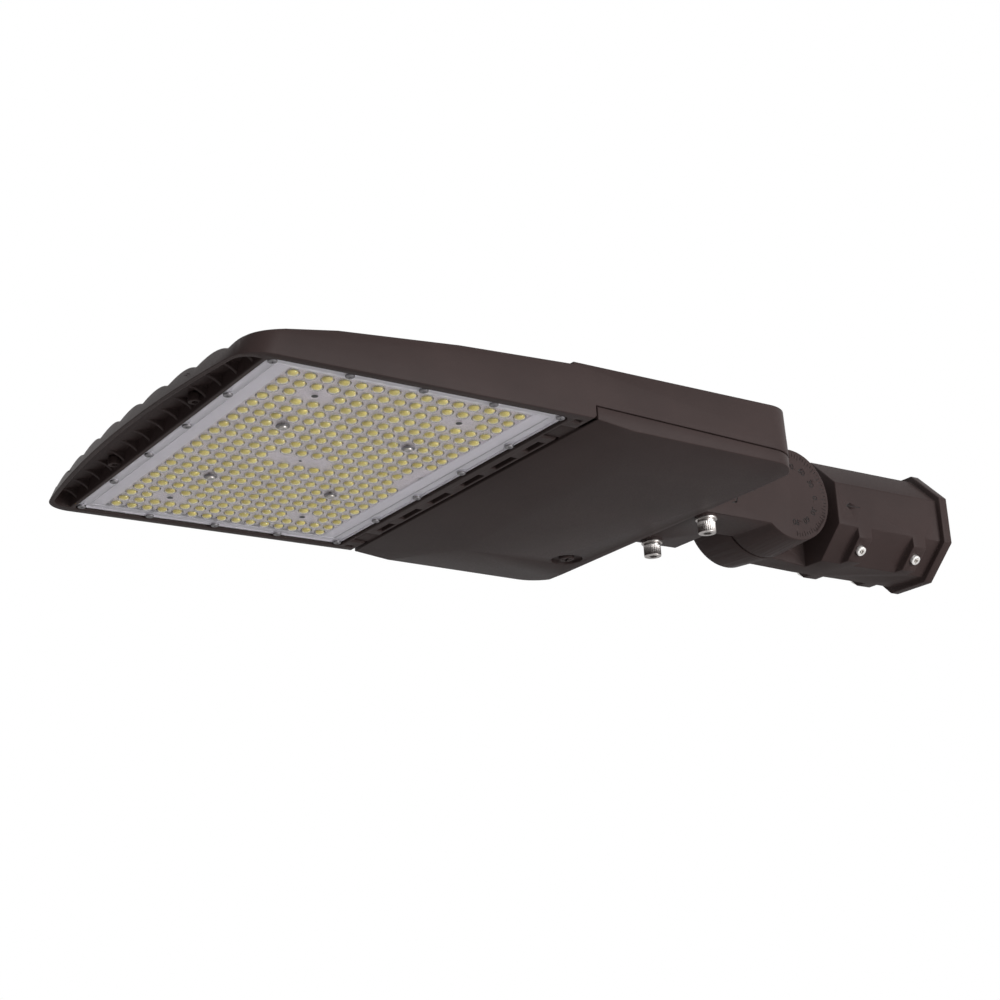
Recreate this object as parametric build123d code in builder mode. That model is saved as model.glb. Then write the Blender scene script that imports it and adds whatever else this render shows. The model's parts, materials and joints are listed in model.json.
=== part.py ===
"""LED area street light on an adjustable slip fitter.

Row frame, millimetres: the origin is the centre of the tenon bore's mouth, +X points
out of the mouth, away from the lamp head, +Z is up and the light shines down.
"""

import math
import os

from build123d import *

# Slip fitter: octagonal sleeve over the pole tenon, with one half of the tilt hub
tenon_diameter = 60.3
tenon_clearance = 0.85
bore_depth = 105.0
sleeve_length = 119.0
sleeve_flats = 81.0
collar_flats = 90.0
collar_length = 8.5
pad_width = 14.0
pad_height = 6.0
pad_spacing = 59.5
pad_from_mouth = 32.5
set_screw_radius = 4.0
set_screw_proud = 2.5
set_screw_socket = 4.0
set_screw_back = 0.3

# Tilt hub
pivot_reach = 46.0
hub_width = 41.0
hub_face_radius = 36.0
hub_mid_radius = 39.0
tooth_count = 24
tooth_height = 1.6
tooth_clearance = 0.3
tooth_inner_radius = 27.0
tooth_outer_radius = 34.0
tooth_base_share = 0.98
wire_ring_inner = 12.0
wire_ring_outer = 23.0
wire_ring_depth = 24.0
neck_hole_radius = 9.0
pivot_bolt_radius = 6.0
pivot_running_clearance = 0.05
pivot_thread_depth = 27.0
pivot_head_flats = 18.0
pivot_head_height = 7.5
pivot_seat_depth = 13.0
pivot_seat_radius = 14.0
pivot_washer_radius = 12.0
pivot_washer_thickness = 2.5
pivot_lock_washer_radius = 10.2
pivot_lock_washer_thickness = 2.6
pivot_washer_gap = 0.3
neck_shoulder = 24.0
neck_edge_half = 19.0

# Arm between hub and head
foot_height = 15.0
foot_drop = 26.2
upright_thickness = 7.7
arm_top = 11.0
hub_to_rear_wall = 96.0
hub_to_upright = 50.0
wire_hole_radius = 8.0
wire_hole_offset = 16.0
arm_bolt_radius = 4.0
arm_bolt_clearance = 0.3
arm_bolt_spacing = 64.0
arm_bolt_from_wall = 15.0
thread_clearance = 0.05
arm_bolt_length = 36.0
arm_bolt_head_radius = 6.5
arm_bolt_head_height = 8.0
arm_bolt_socket = 6.0
arm_pad_radius = 8.6
arm_pad_height = 1.5
arm_washer_radius = 8.0
arm_washer_thickness = 1.6
arm_lock_washer_radius = 6.6
arm_lock_washer_thickness = 2.2
arm_seam = 0.3
lug_hole_depth = 18.0
web_top_angle = 115.0
web_rise = 3.0

# Head casting
head_length = 429.0
head_width = 309.0
front_bulge = 13.0
front_corner_radius = 20.0
rear_corner_radius = 26.0
wall = 4.5
wall_draft = 1.5
front_lean = 5.0
rim_drop = 4.6
led_plane = -20.2
nose_top = 8.0
top_line = ((0.0, 6.6), (38.5, 15.9), (72.0, 21.5), (155.0, 28.9), (239.0, 33.0))
deck_top = 34.3
deck_crown = 3.0
blank_height = 38.0
bay_ceiling = 28.5
bay_front_wall = 7.0
scallop_pitch = 33.0
scallop_depth = 4.0
scallop_count = 10
fin_pitch = 16.5
fin_thickness = 3.6
fin_count = 17
fin_floor = 9.0
fin_draft = 1.0
fin_bed_start = -5.0
fin_bed_end = 158.0

# Nose pocket
nose_rim = 3.6
pocket_half = 145.0
pocket_corner = 11.0
pocket_rear = -27.0
pocket_ceiling_front = 0.5
pocket_ceiling_rear = 5.5
rib_pitch = 20.5
rib_count = 14
rib_thickness = 2.4
rib_arch = 5.0
rib_foot = 3.0
nose_boss_radius = 4.5
nose_boss_hole = 1.8
nose_boss_y = 61.5

# Optical stack
led_columns = 15
led_rows = 21
led_pitch_x = 11.25
led_pitch_y = 13.0
led_chip_height = 0.7
front_to_led = 55.0
lens_front_margin = 23.0
lens_rear_margin = 25.0
lens_side_margin = 16.5
lens_gap = 1.0
lens_thickness = 2.0
lens_standoff = 0.4
lens_border = 9.0
lens_border_height = 0.8
dome_height = 2.0
lens_corner = 4.0
board_thickness = 1.6
board_gap = 0.5
gasket_width = 3.0
gasket_inset = 5.6
lens_screw_radius = 1.5
lens_screw_head_radius = 2.9
lens_screw_head_height = 1.4
lens_screw_grip = 4.5
lens_screw_clearance = 0.2
lens_screws_x = 5
lens_screws_y = 6
lens_screw_inset = 3.4
field_washer_radius = 4.5
field_washer_thickness = 0.8

# Vent strip
vent_strip = 16.5
vent_slot_width = 5.0
vent_slot_long = 24.0
vent_slot_short = 18.0
vent_from_front = 10.0
vent_slot_y = (21.0, 59.5, 94.0)
strip_chamfer = 2.0
drain_hole = (6.0, 4.0)
drain_y = 145.0
drain_from_front = 8.0

# Driver door
door_gap = 0.6
door_front_gap = 1.0
door_side_gap = 0.5
door_floor = 12.0
door_front_level = 5.0
door_slope_run = 62.0
door_wall = 3.0
door_side_rise = 2.8
door_side_reach = (101.0, 154.0)
door_rear_margin = 5.0
door_plateau_front = 97.0
door_plateau_rear = 122.0
door_rear_chamfer = 4.0
split_front = 4.5
split_rear = -1.3
hinge_y = 123.0
hinge_width = 21.0
hinge_pocket_gap = 0.8
hinge_pin_radius = 1.6
hinge_pin_embed = 5.0
hinge_pin_clearance = 0.06
hinge_barrel_radius = 3.6
hinge_from_front = 9.0
hinge_pocket_top = 5.6
hinge_pocket_front = 0.6
hinge_level = 0.6
screw_x_from_rear = 26.0
screw_y = 86.0
screw_head_radius = 6.0
screw_head_height = 2.6
screw_shank_radius = 3.0
screw_shank_clearance = 0.25
screw_recess_radius = 12.0
screw_recess_depth = 2.6
screw_engagement = 8.0
screw_post_flats = 13.0
screw_post_level = 1.0
screw_boss_radius = 15.0
screw_boss_height = 7.0
screw_running_clearance = 0.06
screw_slot = (1.4, 8.0, 1.2)
screw_clip_thickness = 1.2
screw_clip_radius = 5.4
gasket_height = 2.4
gasket_thickness = 2.5
gasket_gap = 0.3

# Driver bay
driver_length = 206.0
driver_width = 66.0
driver_height = 27.0
driver_tab = 14.0
driver_tab_thickness = 2.5
driver_from_front = 24.0
driver_screw_radius = 2.0
driver_screw_head = (3.6, 2.4)
driver_screw_length = 4.5
standoff_flats = 9.0
standoff_height = 4.0
surge_length = 56.0
surge_width = 28.0
surge_height = 20.0
surge_spot = (334.0, -105.0)
terminal_pole_pitch = 12.0
terminal_poles = 3
terminal_width = 22.0
terminal_height = 16.0
terminal_spot = (303.0, -10.0)
terminal_wire_hole = 3.0
terminal_screw_hole = 2.5
grommet_flange = 3.0
lead_hole_radius = 6.0
lead_hole_x = 168.0
lead_hole_level = 12.0
grommet_bore = 3.5

# Small rounds are drawn with few sides
small_sides = 12
tiny_sides = 6

# Derived places
bore_radius = tenon_diameter / 2 + tenon_clearance
half_flats = sleeve_flats / 2
pad_places = (-pad_from_mouth, -pad_from_mouth - pad_spacing)
pivot_x = -sleeve_length - pivot_reach
rear_x = pivot_x - hub_to_rear_wall
front_x = rear_x - head_length
half_width = head_width / 2
led_x = front_x + front_to_led
led_length = (led_columns - 1) * led_pitch_x
led_width = (led_rows - 1) * led_pitch_y
lens_front_x = led_x - lens_front_margin
lens_rear_x = led_x + led_length + lens_rear_margin
lens_half = led_width / 2 + lens_side_margin
lens_mid_x = (lens_front_x + lens_rear_x) / 2
lens_length = lens_rear_x - lens_front_x
door_front_x = lens_rear_x + vent_strip
rim_z = led_plane - rim_drop
board_bottom = led_plane + led_chip_height
platform_z = board_bottom + board_thickness
lens_top = led_plane - lens_standoff
lens_bottom = lens_top - lens_thickness
border_bottom = lens_bottom - lens_border_height
ceiling_z = led_plane + bay_ceiling
hub_face_gap = (tooth_height + tooth_clearance) / 2
hub_depth = hub_width - hub_face_gap
hub_draft = math.degrees(math.atan((hub_mid_radius - hub_face_radius) / hub_depth))
upright_x = pivot_x - hub_to_upright
lug_x = upright_x - upright_thickness - arm_seam
foot_bottom = -foot_drop
foot_top = foot_bottom + foot_height
arm_bolt_x = rear_x + arm_bolt_from_wall
screw_x = rear_x - screw_x_from_rear
hinge_x = door_front_x - hinge_from_front
hinge_z = led_plane + hinge_level
post_z = led_plane + screw_post_level
standoff_z = ceiling_z - standoff_height
driver_x = door_front_x + driver_from_front + driver_width / 2
driver_end = driver_length / 2 + driver_tab / 2


def split_z(x):
    """Height of the seam between head and door at x, on one slanted plane."""
    share = (x - door_front_x) / (rear_x - door_front_x)
    return led_plane + split_front + share * (split_rear - split_front)


def seam_plane(drop):
    """The seam's plane, lowered by drop, with its normal upwards."""
    rise = split_z(rear_x) - split_z(door_front_x)
    run = rear_x - door_front_x
    return Plane(origin=(door_front_x, 0, split_z(door_front_x) - drop), z_dir=(-rise, 0, run))


def head_outline(inset, nose_shift):
    """Plan outline of the head, drawn in by inset, its bowed front edge moved back."""
    x0 = front_x + inset + nose_shift
    x1 = rear_x - inset
    y1 = half_width - inset
    with BuildSketch() as outline:
        with BuildLine():
            nose = ThreePointArc((x0 + front_bulge, y1), (x0, 0), (x0 + front_bulge, -y1))
            Polyline(nose @ 1, (x1, -y1), (x1, y1), nose @ 0)
        make_face()
        fillet(outline.vertices().sort_by(Axis.X)[:2], front_corner_radius - inset)
        fillet(outline.vertices().sort_by(Axis.X)[-2:], rear_corner_radius - inset)
    return outline.sketch


def blank_led(column, row):
    """True where the LED grid has a blank for a screw, a fixing dot or the leads."""
    middle = led_rows // 2
    if row in (2, led_rows - 3):
        return column in (2, 3, led_columns - 4, led_columns - 3)
    if row in (6, led_rows - 7):
        return column in (3, led_columns - 4)
    if row == middle:
        return column in (5, 6, 7, 8, led_columns - 1)
    return abs(row - middle) == 1 and column == led_columns - 1


def led_spot(column, row):
    """Plan position of one place in the LED grid."""
    return (led_x + column * led_pitch_x, (row - (led_rows - 1) / 2) * led_pitch_y)


led_grid = [(column, row) for column in range(led_columns) for row in range(led_rows)]
led_spots = [led_spot(*place) for place in led_grid if not blank_led(*place)]
field_spots = [led_spot(column, row) for column in (3, led_columns - 4) for row in (6, led_rows - 7)]
screw_pitch_x = (lens_length - 2 * lens_screw_inset) / (lens_screws_x - 1)
screw_pitch_y = 2 * (lens_half - lens_screw_inset) / (lens_screws_y - 1)
first_screw = (lens_front_x + lens_screw_inset, lens_screw_inset - lens_half)
lens_screw_spots = [
    (first_screw[0] + i * screw_pitch_x, first_screw[1] + j * screw_pitch_y)
    for i in range(lens_screws_x)
    for j in range(lens_screws_y)
    if i in (0, lens_screws_x - 1) or j in (0, lens_screws_y - 1)
]


def block(x, y, z, mode=Mode.ADD):
    """Box between two x, two y and two z values."""
    with Locations(((x[0] + x[1]) / 2, (y[0] + y[1]) / 2, (z[0] + z[1]) / 2)):
        Box(abs(x[1] - x[0]), abs(y[1] - y[0]), abs(z[1] - z[0]), mode=mode)


def rod(start, axis, radius, length, mode=Mode.ADD):
    """Cylinder that starts at a point and runs along an axis."""
    with Locations(Plane(origin=start, z_dir=axis)):
        Cylinder(radius, length, align=(Align.CENTER, Align.CENTER, Align.MIN), mode=mode)


def stub(start, axis, radius, length, mode=Mode.ADD, sides=small_sides):
    """Prism that stands for a small cylinder: inside its radius if solid, outside it if a hole."""
    with BuildSketch(Plane(origin=start, z_dir=axis)) as profile:
        RegularPolygon(radius, sides, major_radius=mode == Mode.ADD)
    extrude(profile.sketch, amount=length, mode=mode)


def hexagon(start, axis, flats, length, mode=Mode.ADD):
    """Hexagonal prism that starts at a point and runs along an axis."""
    with BuildSketch(Plane(origin=start, z_dir=axis)) as profile:
        RegularPolygon(flats / 2, 6, major_radius=False)
    extrude(profile.sketch, amount=length, mode=mode)


def side_prism(points, y0, y1, mode=Mode.ADD):
    """Prism across the object: a polygon of x and z values between two y values."""
    with BuildSketch(Plane.XZ.offset(-y0)) as profile:
        with BuildLine():
            Polyline(*points, close=True)
        make_face()
    extrude(profile.sketch, amount=y0 - y1, mode=mode)


def section_prism(points, x0, x1):
    """Prism along the object: a polygon of y and z values between two x values."""
    with BuildSketch(Plane.YZ.offset(x0)) as profile:
        with BuildLine():
            Polyline(*points, close=True)
        make_face()
    extrude(profile.sketch, amount=x1 - x0)


def save(part, name):
    """Labels one finished piece and writes it under its node's name."""
    part.label = name
    export_step(part, f"parts/{name}.step")


def tooth_ring(face, turn):
    """Radial V teeth that rise from a hub face along its normal."""
    base = tooth_base_share * 2 * math.pi * tooth_inner_radius / tooth_count
    run = tooth_outer_radius - tooth_inner_radius
    with BuildPart(face) as ring:
        with PolarLocations(tooth_inner_radius, tooth_count, start_angle=turn):
            with Locations(Location((0, -base / 2, 0), (0, 90, 90))):
                Wedge(base, tooth_height, run, base / 2, 0, base / 2, run, align=None)
    return ring.part


os.makedirs("parts", exist_ok=True)

# Mid-plane faces of the hub: the near half lies at negative y, the far half at positive y
near_mid = Plane(origin=(pivot_x, -hub_face_gap, 0), x_dir=(1, 0, 0), z_dir=(0, -1, 0))
far_mid = Plane(origin=(pivot_x, hub_face_gap, 0), x_dir=(1, 0, 0), z_dir=(0, 1, 0))
near_teeth = tooth_ring(Plane(origin=near_mid.origin, x_dir=(1, 0, 0), z_dir=(0, 1, 0)), 0)
far_teeth = tooth_ring(Plane(origin=far_mid.origin, x_dir=(1, 0, 0), z_dir=(0, -1, 0)), 180 / tooth_count)

# Slip fitter: octagonal sleeve, collar, clamping pads, neck and far half of the hub
pad_corner = (half_flats + pad_height) * math.sqrt(2) - half_flats
flat_edge = half_flats * math.tan(math.radians(22.5))
seat_y = hub_width - pivot_seat_depth
with BuildPart() as slip_fitter:
    with BuildSketch(Plane.YZ.offset(-sleeve_length)):
        RegularPolygon(half_flats, 8, major_radius=False, rotation=22.5)
    extrude(amount=sleeve_length)
    with BuildSketch(Plane.YZ.offset(-collar_length)):
        RegularPolygon(collar_flats / 2, 8, major_radius=False, rotation=22.5)
    extrude(amount=collar_length)
    for side in (-1, 1):
        for pad_x in pad_places:
            pad = (
                (side * half_flats, 0),
                (side * half_flats, -pad_corner),
                (side * pad_corner, -half_flats),
                (0, -half_flats),
            )
            section_prism(pad, pad_x - pad_width / 2, pad_x + pad_width / 2)
    with BuildSketch(Plane.YZ.offset(-sleeve_length)):
        with BuildLine():
            Polyline(
                (hub_face_gap, half_flats),
                (flat_edge, half_flats),
                (half_flats, flat_edge),
                (half_flats, -flat_edge),
                (flat_edge, -half_flats),
                (hub_face_gap, -half_flats),
                close=True,
            )
        make_face()
    with BuildSketch(Plane.YZ.offset(pivot_x)):
        with BuildLine():
            Polyline(
                (hub_face_gap, hub_face_radius),
                (neck_shoulder, hub_face_radius),
                (hub_width, neck_edge_half),
                (hub_width, -neck_edge_half),
                (neck_shoulder, -hub_face_radius),
                (hub_face_gap, -hub_face_radius),
                close=True,
            )
        make_face()
    loft(ruled=True)
    with BuildSketch(far_mid):
        Circle(hub_mid_radius)
    extrude(amount=hub_depth, taper=hub_draft)
    add(far_teeth)
    rod((-bore_depth, 0, 0), (1, 0, 0), bore_radius, bore_depth, Mode.SUBTRACT)
    # Ring-shaped wire way in the hub and the passage from it to the bore
    with BuildSketch(far_mid.offset(-tooth_height)):
        RegularPolygon(wire_ring_outer, small_sides)
        RegularPolygon(wire_ring_inner, small_sides, mode=Mode.SUBTRACT)
    extrude(amount=wire_ring_depth + tooth_height, mode=Mode.SUBTRACT)
    passage_x = pivot_x + (wire_ring_inner + wire_ring_outer) / 2
    passage_y = hub_face_gap + wire_ring_depth - neck_hole_radius - 1
    passage = -bore_depth - passage_x + 1
    stub((passage_x, passage_y, 0), (1, 0, 0), neck_hole_radius, passage, Mode.SUBTRACT)
    pivot_hole_radius = pivot_bolt_radius + pivot_running_clearance
    rod((pivot_x, -1, 0), (0, 1, 0), pivot_hole_radius, hub_width, Mode.SUBTRACT)
    stub((pivot_x, seat_y, 0), (0, 1, 0), pivot_seat_radius, hub_width, Mode.SUBTRACT)
    for side in (-1, 1):
        for pad_x in pad_places:
            stub((pad_x, 0, 0), (0, side, -1), set_screw_radius, sleeve_flats, Mode.SUBTRACT)

# Four set screws that clamp the tenon, each with a hexagon socket
with BuildPart() as tenon_set_screws:
    screw_end = half_flats + pad_height + set_screw_proud
    screw_root = (screw_end - set_screw_socket) / math.sqrt(2)
    tip = (bore_radius + set_screw_back) / math.sqrt(2)
    shank = screw_end - bore_radius - set_screw_back
    for side in (-1, 1):
        for pad_x in pad_places:
            axis = (0, side, -1)
            stub((pad_x, side * tip, -tip), axis, set_screw_radius - thread_clearance, shank)
            socket = (pad_x, side * screw_root, -screw_root)
            hexagon(socket, axis, set_screw_socket, set_screw_socket + 1, Mode.SUBTRACT)

# Knuckle arm: near half of the hub, web, foot and upright that carry the head
web_x = pivot_x - math.sqrt(hub_face_radius**2 - foot_drop**2)
web_top = math.radians(web_top_angle)
with BuildPart() as knuckle_arm:
    with BuildSketch(near_mid):
        Circle(hub_mid_radius)
    extrude(amount=hub_depth, taper=hub_draft)
    web = (
        (upright_x - upright_thickness, foot_bottom),
        (web_x, foot_bottom),
        (pivot_x, 0),
        (pivot_x + hub_face_radius * math.cos(web_top), hub_face_radius * math.sin(web_top)),
        (upright_x - upright_thickness / 2, arm_top + web_rise),
        (upright_x - upright_thickness, arm_top),
    )
    side_prism(web, -hub_width, -hub_face_gap)
    foot = (
        (rear_x + arm_seam, foot_bottom),
        (upright_x, foot_bottom),
        (upright_x, arm_top),
        (upright_x - upright_thickness, arm_top),
        (upright_x - upright_thickness, foot_top),
        (rear_x + arm_seam, foot_top),
    )
    side_prism(foot, -hub_width, hub_width)
    add(near_teeth)
    for side in (-1, 1):
        pad_top = (arm_bolt_x, side * arm_bolt_spacing / 2, foot_bottom + arm_pad_height)
        stub(pad_top, (0, 0, -1), arm_pad_radius, 2 * arm_pad_height)
        hole = arm_bolt_radius + arm_bolt_clearance
        hole_bottom = (pad_top[0], pad_top[1], foot_bottom - foot_height)
        stub(hole_bottom, (0, 0, 1), hole, 3 * foot_height, Mode.SUBTRACT)
    with BuildSketch(near_mid.offset(-tooth_height)):
        RegularPolygon(wire_ring_outer, small_sides)
        RegularPolygon(wire_ring_inner, small_sides, mode=Mode.SUBTRACT)
    extrude(amount=wire_ring_depth + tooth_height, mode=Mode.SUBTRACT)
    thread = pivot_bolt_radius + thread_clearance
    stub((pivot_x, 1, 0), (0, -1, 0), thread, pivot_thread_depth + 1, Mode.SUBTRACT)
    wire_start = (upright_x - upright_thickness - 1, -wire_hole_offset, 0)
    wire_run = hub_to_upright + upright_thickness + 1 - (wire_ring_inner + wire_ring_outer) / 2
    stub(wire_start, (1, 0, 0), wire_hole_radius, wire_run, Mode.SUBTRACT)

# Two cap screws hold the arm to the head's rear lug
washer_z = foot_bottom - arm_pad_height
lock_z = washer_z - arm_washer_thickness
head_z = lock_z - arm_lock_washer_thickness
arm_sides = (-arm_bolt_spacing / 2, arm_bolt_spacing / 2)
with BuildPart() as arm_flat_washers:
    for y in arm_sides:
        stub((arm_bolt_x, y, washer_z), (0, 0, -1), arm_washer_radius, arm_washer_thickness)
        hole = arm_bolt_radius + arm_bolt_clearance
        stub((arm_bolt_x, y, washer_z), (0, 0, -1), hole, arm_washer_thickness, Mode.SUBTRACT)
with BuildPart() as arm_lock_washers:
    for y in arm_sides:
        stub((arm_bolt_x, y, lock_z), (0, 0, -1), arm_lock_washer_radius, arm_lock_washer_thickness)
        hole = arm_bolt_radius + arm_bolt_clearance
        stub((arm_bolt_x, y, lock_z), (0, 0, -1), hole, arm_lock_washer_thickness, Mode.SUBTRACT)
with BuildPart() as arm_bolts:
    for y in arm_sides:
        stub((arm_bolt_x, y, head_z), (0, 0, -1), arm_bolt_head_radius, arm_bolt_head_height)
        stub((arm_bolt_x, y, head_z), (0, 0, 1), arm_bolt_radius - thread_clearance, arm_bolt_length)
        socket = (arm_bolt_x, y, head_z - arm_bolt_head_height)
        hexagon(socket, (0, 0, 1), arm_bolt_socket, arm_bolt_socket - 1, Mode.SUBTRACT)

# Pivot bolt with flat and lock washer: it turns in the far half, is fixed in the near half
pivot_washer_y = seat_y + pivot_washer_gap
pivot_lock_y = pivot_washer_y + pivot_washer_thickness
pivot_head_y = pivot_lock_y + pivot_lock_washer_thickness
with BuildPart() as pivot_washer:
    stub((pivot_x, pivot_washer_y, 0), (0, 1, 0), pivot_washer_radius, pivot_washer_thickness)
    stub((pivot_x, 0, 0), (0, 1, 0), pivot_hole_radius, hub_width, Mode.SUBTRACT)
with BuildPart() as pivot_lock_washer:
    stub((pivot_x, pivot_lock_y, 0), (0, 1, 0), pivot_lock_washer_radius, pivot_lock_washer_thickness)
    stub((pivot_x, 0, 0), (0, 1, 0), pivot_hole_radius, hub_width, Mode.SUBTRACT)
with BuildPart() as pivot_bolt:
    hexagon((pivot_x, pivot_head_y, 0), (0, 1, 0), pivot_head_flats, pivot_head_height)
    pivot_length = pivot_head_y + hub_face_gap + pivot_thread_depth - 2
    rod((pivot_x, pivot_head_y, 0), (0, -1, 0), pivot_bolt_radius, pivot_length)

# Cores taken out of the head casting
with BuildPart() as bay_core:
    bay_outline = head_outline(wall, 0)
    with BuildSketch(Plane.XY.offset(rim_z - 1)):
        add(bay_outline)
    extrude(amount=ceiling_z - rim_z + 1)
    bay_x = (door_front_x + bay_front_wall, rear_x)
    block(bay_x, (-half_width, half_width), (rim_z - 1, ceiling_z), Mode.INTERSECT)
pocket_x = front_x + nose_rim
pocket_end = led_x + pocket_rear
with BuildPart() as nose_core:
    with BuildSketch(Plane.XY.offset(rim_z - 1)) as pocket_plan:
        with BuildLine():
            bow = front_bulge * (pocket_half / half_width) ** 2
            bowed_x = pocket_x + bow
            arc = ThreePointArc((bowed_x, pocket_half), (pocket_x, 0), (bowed_x, -pocket_half))
            Polyline(arc @ 1, (pocket_end, -pocket_half), (pocket_end, pocket_half), arc @ 0)
        make_face()
        fillet(pocket_plan.vertices().sort_by(Axis.X)[:2], pocket_corner)
    extrude(amount=blank_height)
    pocket_side = (
        (front_x, rim_z - 1),
        (front_x, led_plane + pocket_ceiling_front),
        (pocket_end, led_plane + pocket_ceiling_rear),
        (pocket_end, rim_z - 1),
    )
    side_prism(pocket_side, -half_width, half_width, Mode.INTERSECT)
with BuildPart() as nose_ribs:
    for place in range(rib_count):
        rib_y = (place - (rib_count - 1) / 2) * rib_pitch
        rib_sides = (rib_y - rib_thickness / 2, rib_y + rib_thickness / 2)
        block((front_x, pocket_end), rib_sides, (rim_z, led_plane + pocket_ceiling_rear))
    with BuildSketch(Plane.XZ.offset(-half_width)):
        with BuildLine():
            rib_z = rim_z + rib_foot
            arch_top = ((pocket_x + pocket_end) / 2, rib_z + rib_arch)
            arch = ThreePointArc((pocket_x, rib_z), arch_top, (pocket_end, rib_z))
            Polyline(arch @ 1, (pocket_end, rim_z - 1), (pocket_x, rim_z - 1), arch @ 0)
        make_face()
    extrude(amount=head_width, mode=Mode.SUBTRACT)
    add(nose_core.part, mode=Mode.INTERSECT)

# Head casting: scalloped nose, fin bed, deck, driver bay, vent strip and rear lug
rim_outline = head_outline(0, 0)
nose_outline = head_outline((nose_top + rim_drop) * math.tan(math.radians(wall_draft)), front_lean)
with BuildPart() as main_housing:
    with BuildSketch(Plane.XY.offset(rim_z)):
        add(rim_outline)
    with BuildSketch(Plane.XY.offset(led_plane + nose_top)):
        add(nose_outline)
    loft(ruled=True)
    with BuildSketch(Plane.XY.offset(led_plane + nose_top)):
        add(nose_outline)
    extrude(amount=blank_height - nose_top, taper=wall_draft)
    for (x0, z0), (x1, z1) in zip(top_line, top_line[1:]):
        with BuildSketch(Plane.YZ.offset(front_x + x0)):
            with BuildLine():
                ends = []
                for place in range(scallop_count + 1):
                    y = (place - scallop_count / 2) * scallop_pitch
                    fall = deck_crown * (y / half_width) ** 2
                    ends.append((y, led_plane + z0 - fall - scallop_depth))
                for start, end in zip(ends, ends[1:]):
                    middle = (start[1] + end[1]) / 2 + scallop_depth
                    ThreePointArc(start, ((start[0] + end[0]) / 2, middle), end)
                Polyline(ends[-1], (ends[-1][0], blank_height), (ends[0][0], blank_height), ends[0])
            make_face()
        slope = Vector(x1 - x0, 0, z1 - z0)
        extrude(amount=slope.length, dir=slope, mode=Mode.SUBTRACT)
    deck_z = led_plane + deck_top
    with BuildSketch(Plane.YZ.offset(front_x + top_line[-1][0])):
        with BuildLine():
            edge_y = scallop_count * scallop_pitch / 2
            edge_z = deck_z - deck_crown * (edge_y / half_width) ** 2
            crown = ThreePointArc((-edge_y, edge_z), (0, deck_z), (edge_y, edge_z))
            Polyline(crown @ 1, (edge_y, blank_height), (-edge_y, blank_height), crown @ 0)
        make_face()
    extrude(amount=head_length, mode=Mode.SUBTRACT)
    # Slots between the cooling fins
    fin_bed = fin_bed_end - fin_bed_start
    with BuildSketch(Plane.XY.offset(led_plane + fin_floor)):
        with Locations((led_x + (fin_bed_start + fin_bed_end) / 2, 0)):
            with GridLocations(fin_bed, fin_pitch, 1, fin_count - 1):
                Rectangle(fin_bed, fin_pitch - fin_thickness)
    extrude(amount=blank_height - fin_floor, taper=-fin_draft, mode=Mode.SUBTRACT)
    # Recess of the optical stack
    with BuildSketch(Plane.XY.offset(rim_z - 1)):
        with Locations((lens_mid_x, 0)):
            RectangleRounded(
                lens_length + 2 * lens_gap, 2 * (lens_half + lens_gap), lens_corner + lens_gap
            )
    extrude(amount=platform_z - rim_z + 1, mode=Mode.SUBTRACT)
    add(nose_core.part, mode=Mode.SUBTRACT)
    add(nose_ribs.part)
    for side in (-1, 1):
        boss = (pocket_end - nose_boss_radius / 2, side * nose_boss_y, rim_z + rib_foot)
        stub(boss, (0, 0, 1), nose_boss_radius, pocket_ceiling_rear)
        stub(boss, (0, 0, 1), nose_boss_hole, pocket_ceiling_rear / 2, Mode.SUBTRACT, tiny_sides)
    # Seam with the door, driver bay and vent slots
    seam = (
        (door_front_x, rim_z - 1),
        (door_front_x, split_z(door_front_x)),
        (rear_x + 1, split_z(rear_x + 1)),
        (rear_x + 1, rim_z - 1),
    )
    side_prism(seam, -half_width, half_width, Mode.SUBTRACT)
    add(bay_core.part, mode=Mode.SUBTRACT)
    for side in (-1, 1):
        for place, slot_y in enumerate(vent_slot_y):
            slot = vent_slot_short if place == len(vent_slot_y) - 1 else vent_slot_long
            slot_x = lens_rear_x + vent_from_front
            block(
                (slot_x - vent_slot_width / 2, slot_x + vent_slot_width / 2),
                (side * slot_y - slot / 2, side * slot_y + slot / 2),
                (rim_z - 1, blank_height),
                Mode.SUBTRACT,
            )
        drain_x = lens_rear_x + drain_from_front
        block(
            (drain_x - drain_hole[0] / 2, drain_x + drain_hole[0] / 2),
            (side * drain_y - drain_hole[1] / 2, side * drain_y + drain_hole[1] / 2),
            (rim_z - 1, rim_z + rib_foot),
            Mode.SUBTRACT,
        )
        # Hinge pockets and the blind holes of their pins
        pocket_y = hinge_width / 2 + hinge_pocket_gap
        block(
            (hinge_x - hinge_barrel_radius - hinge_pocket_front, door_front_x + 1),
            (side * hinge_y - pocket_y, side * hinge_y + pocket_y),
            (rim_z - 1, led_plane + hinge_pocket_top),
            Mode.SUBTRACT,
        )
        pin_half = pocket_y + hinge_pin_embed
        pin_start = (hinge_x, side * hinge_y - pin_half, hinge_z)
        stub(pin_start, (0, 1, 0), hinge_pin_radius, 2 * pin_half, Mode.SUBTRACT)
    strip_edge = (
        (door_front_x - strip_chamfer, rim_z),
        (door_front_x, rim_z + strip_chamfer),
        (door_front_x + 1, rim_z - 1),
    )
    side_prism(strip_edge, -half_width, half_width, Mode.SUBTRACT)
    # Lug for the knuckle arm with the wire bore through the rear wall
    block((rear_x - 1, lug_x), (-hub_width, hub_width), (foot_top, arm_top))
    wire_start = (rear_x - 2 * wall, -wire_hole_offset, 0)
    stub(wire_start, (1, 0, 0), wire_hole_radius, hub_to_rear_wall, Mode.SUBTRACT)
    for y in arm_sides:
        stub((arm_bolt_x, y, foot_top), (0, 0, 1), arm_bolt_radius, lug_hole_depth, Mode.SUBTRACT)
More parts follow.
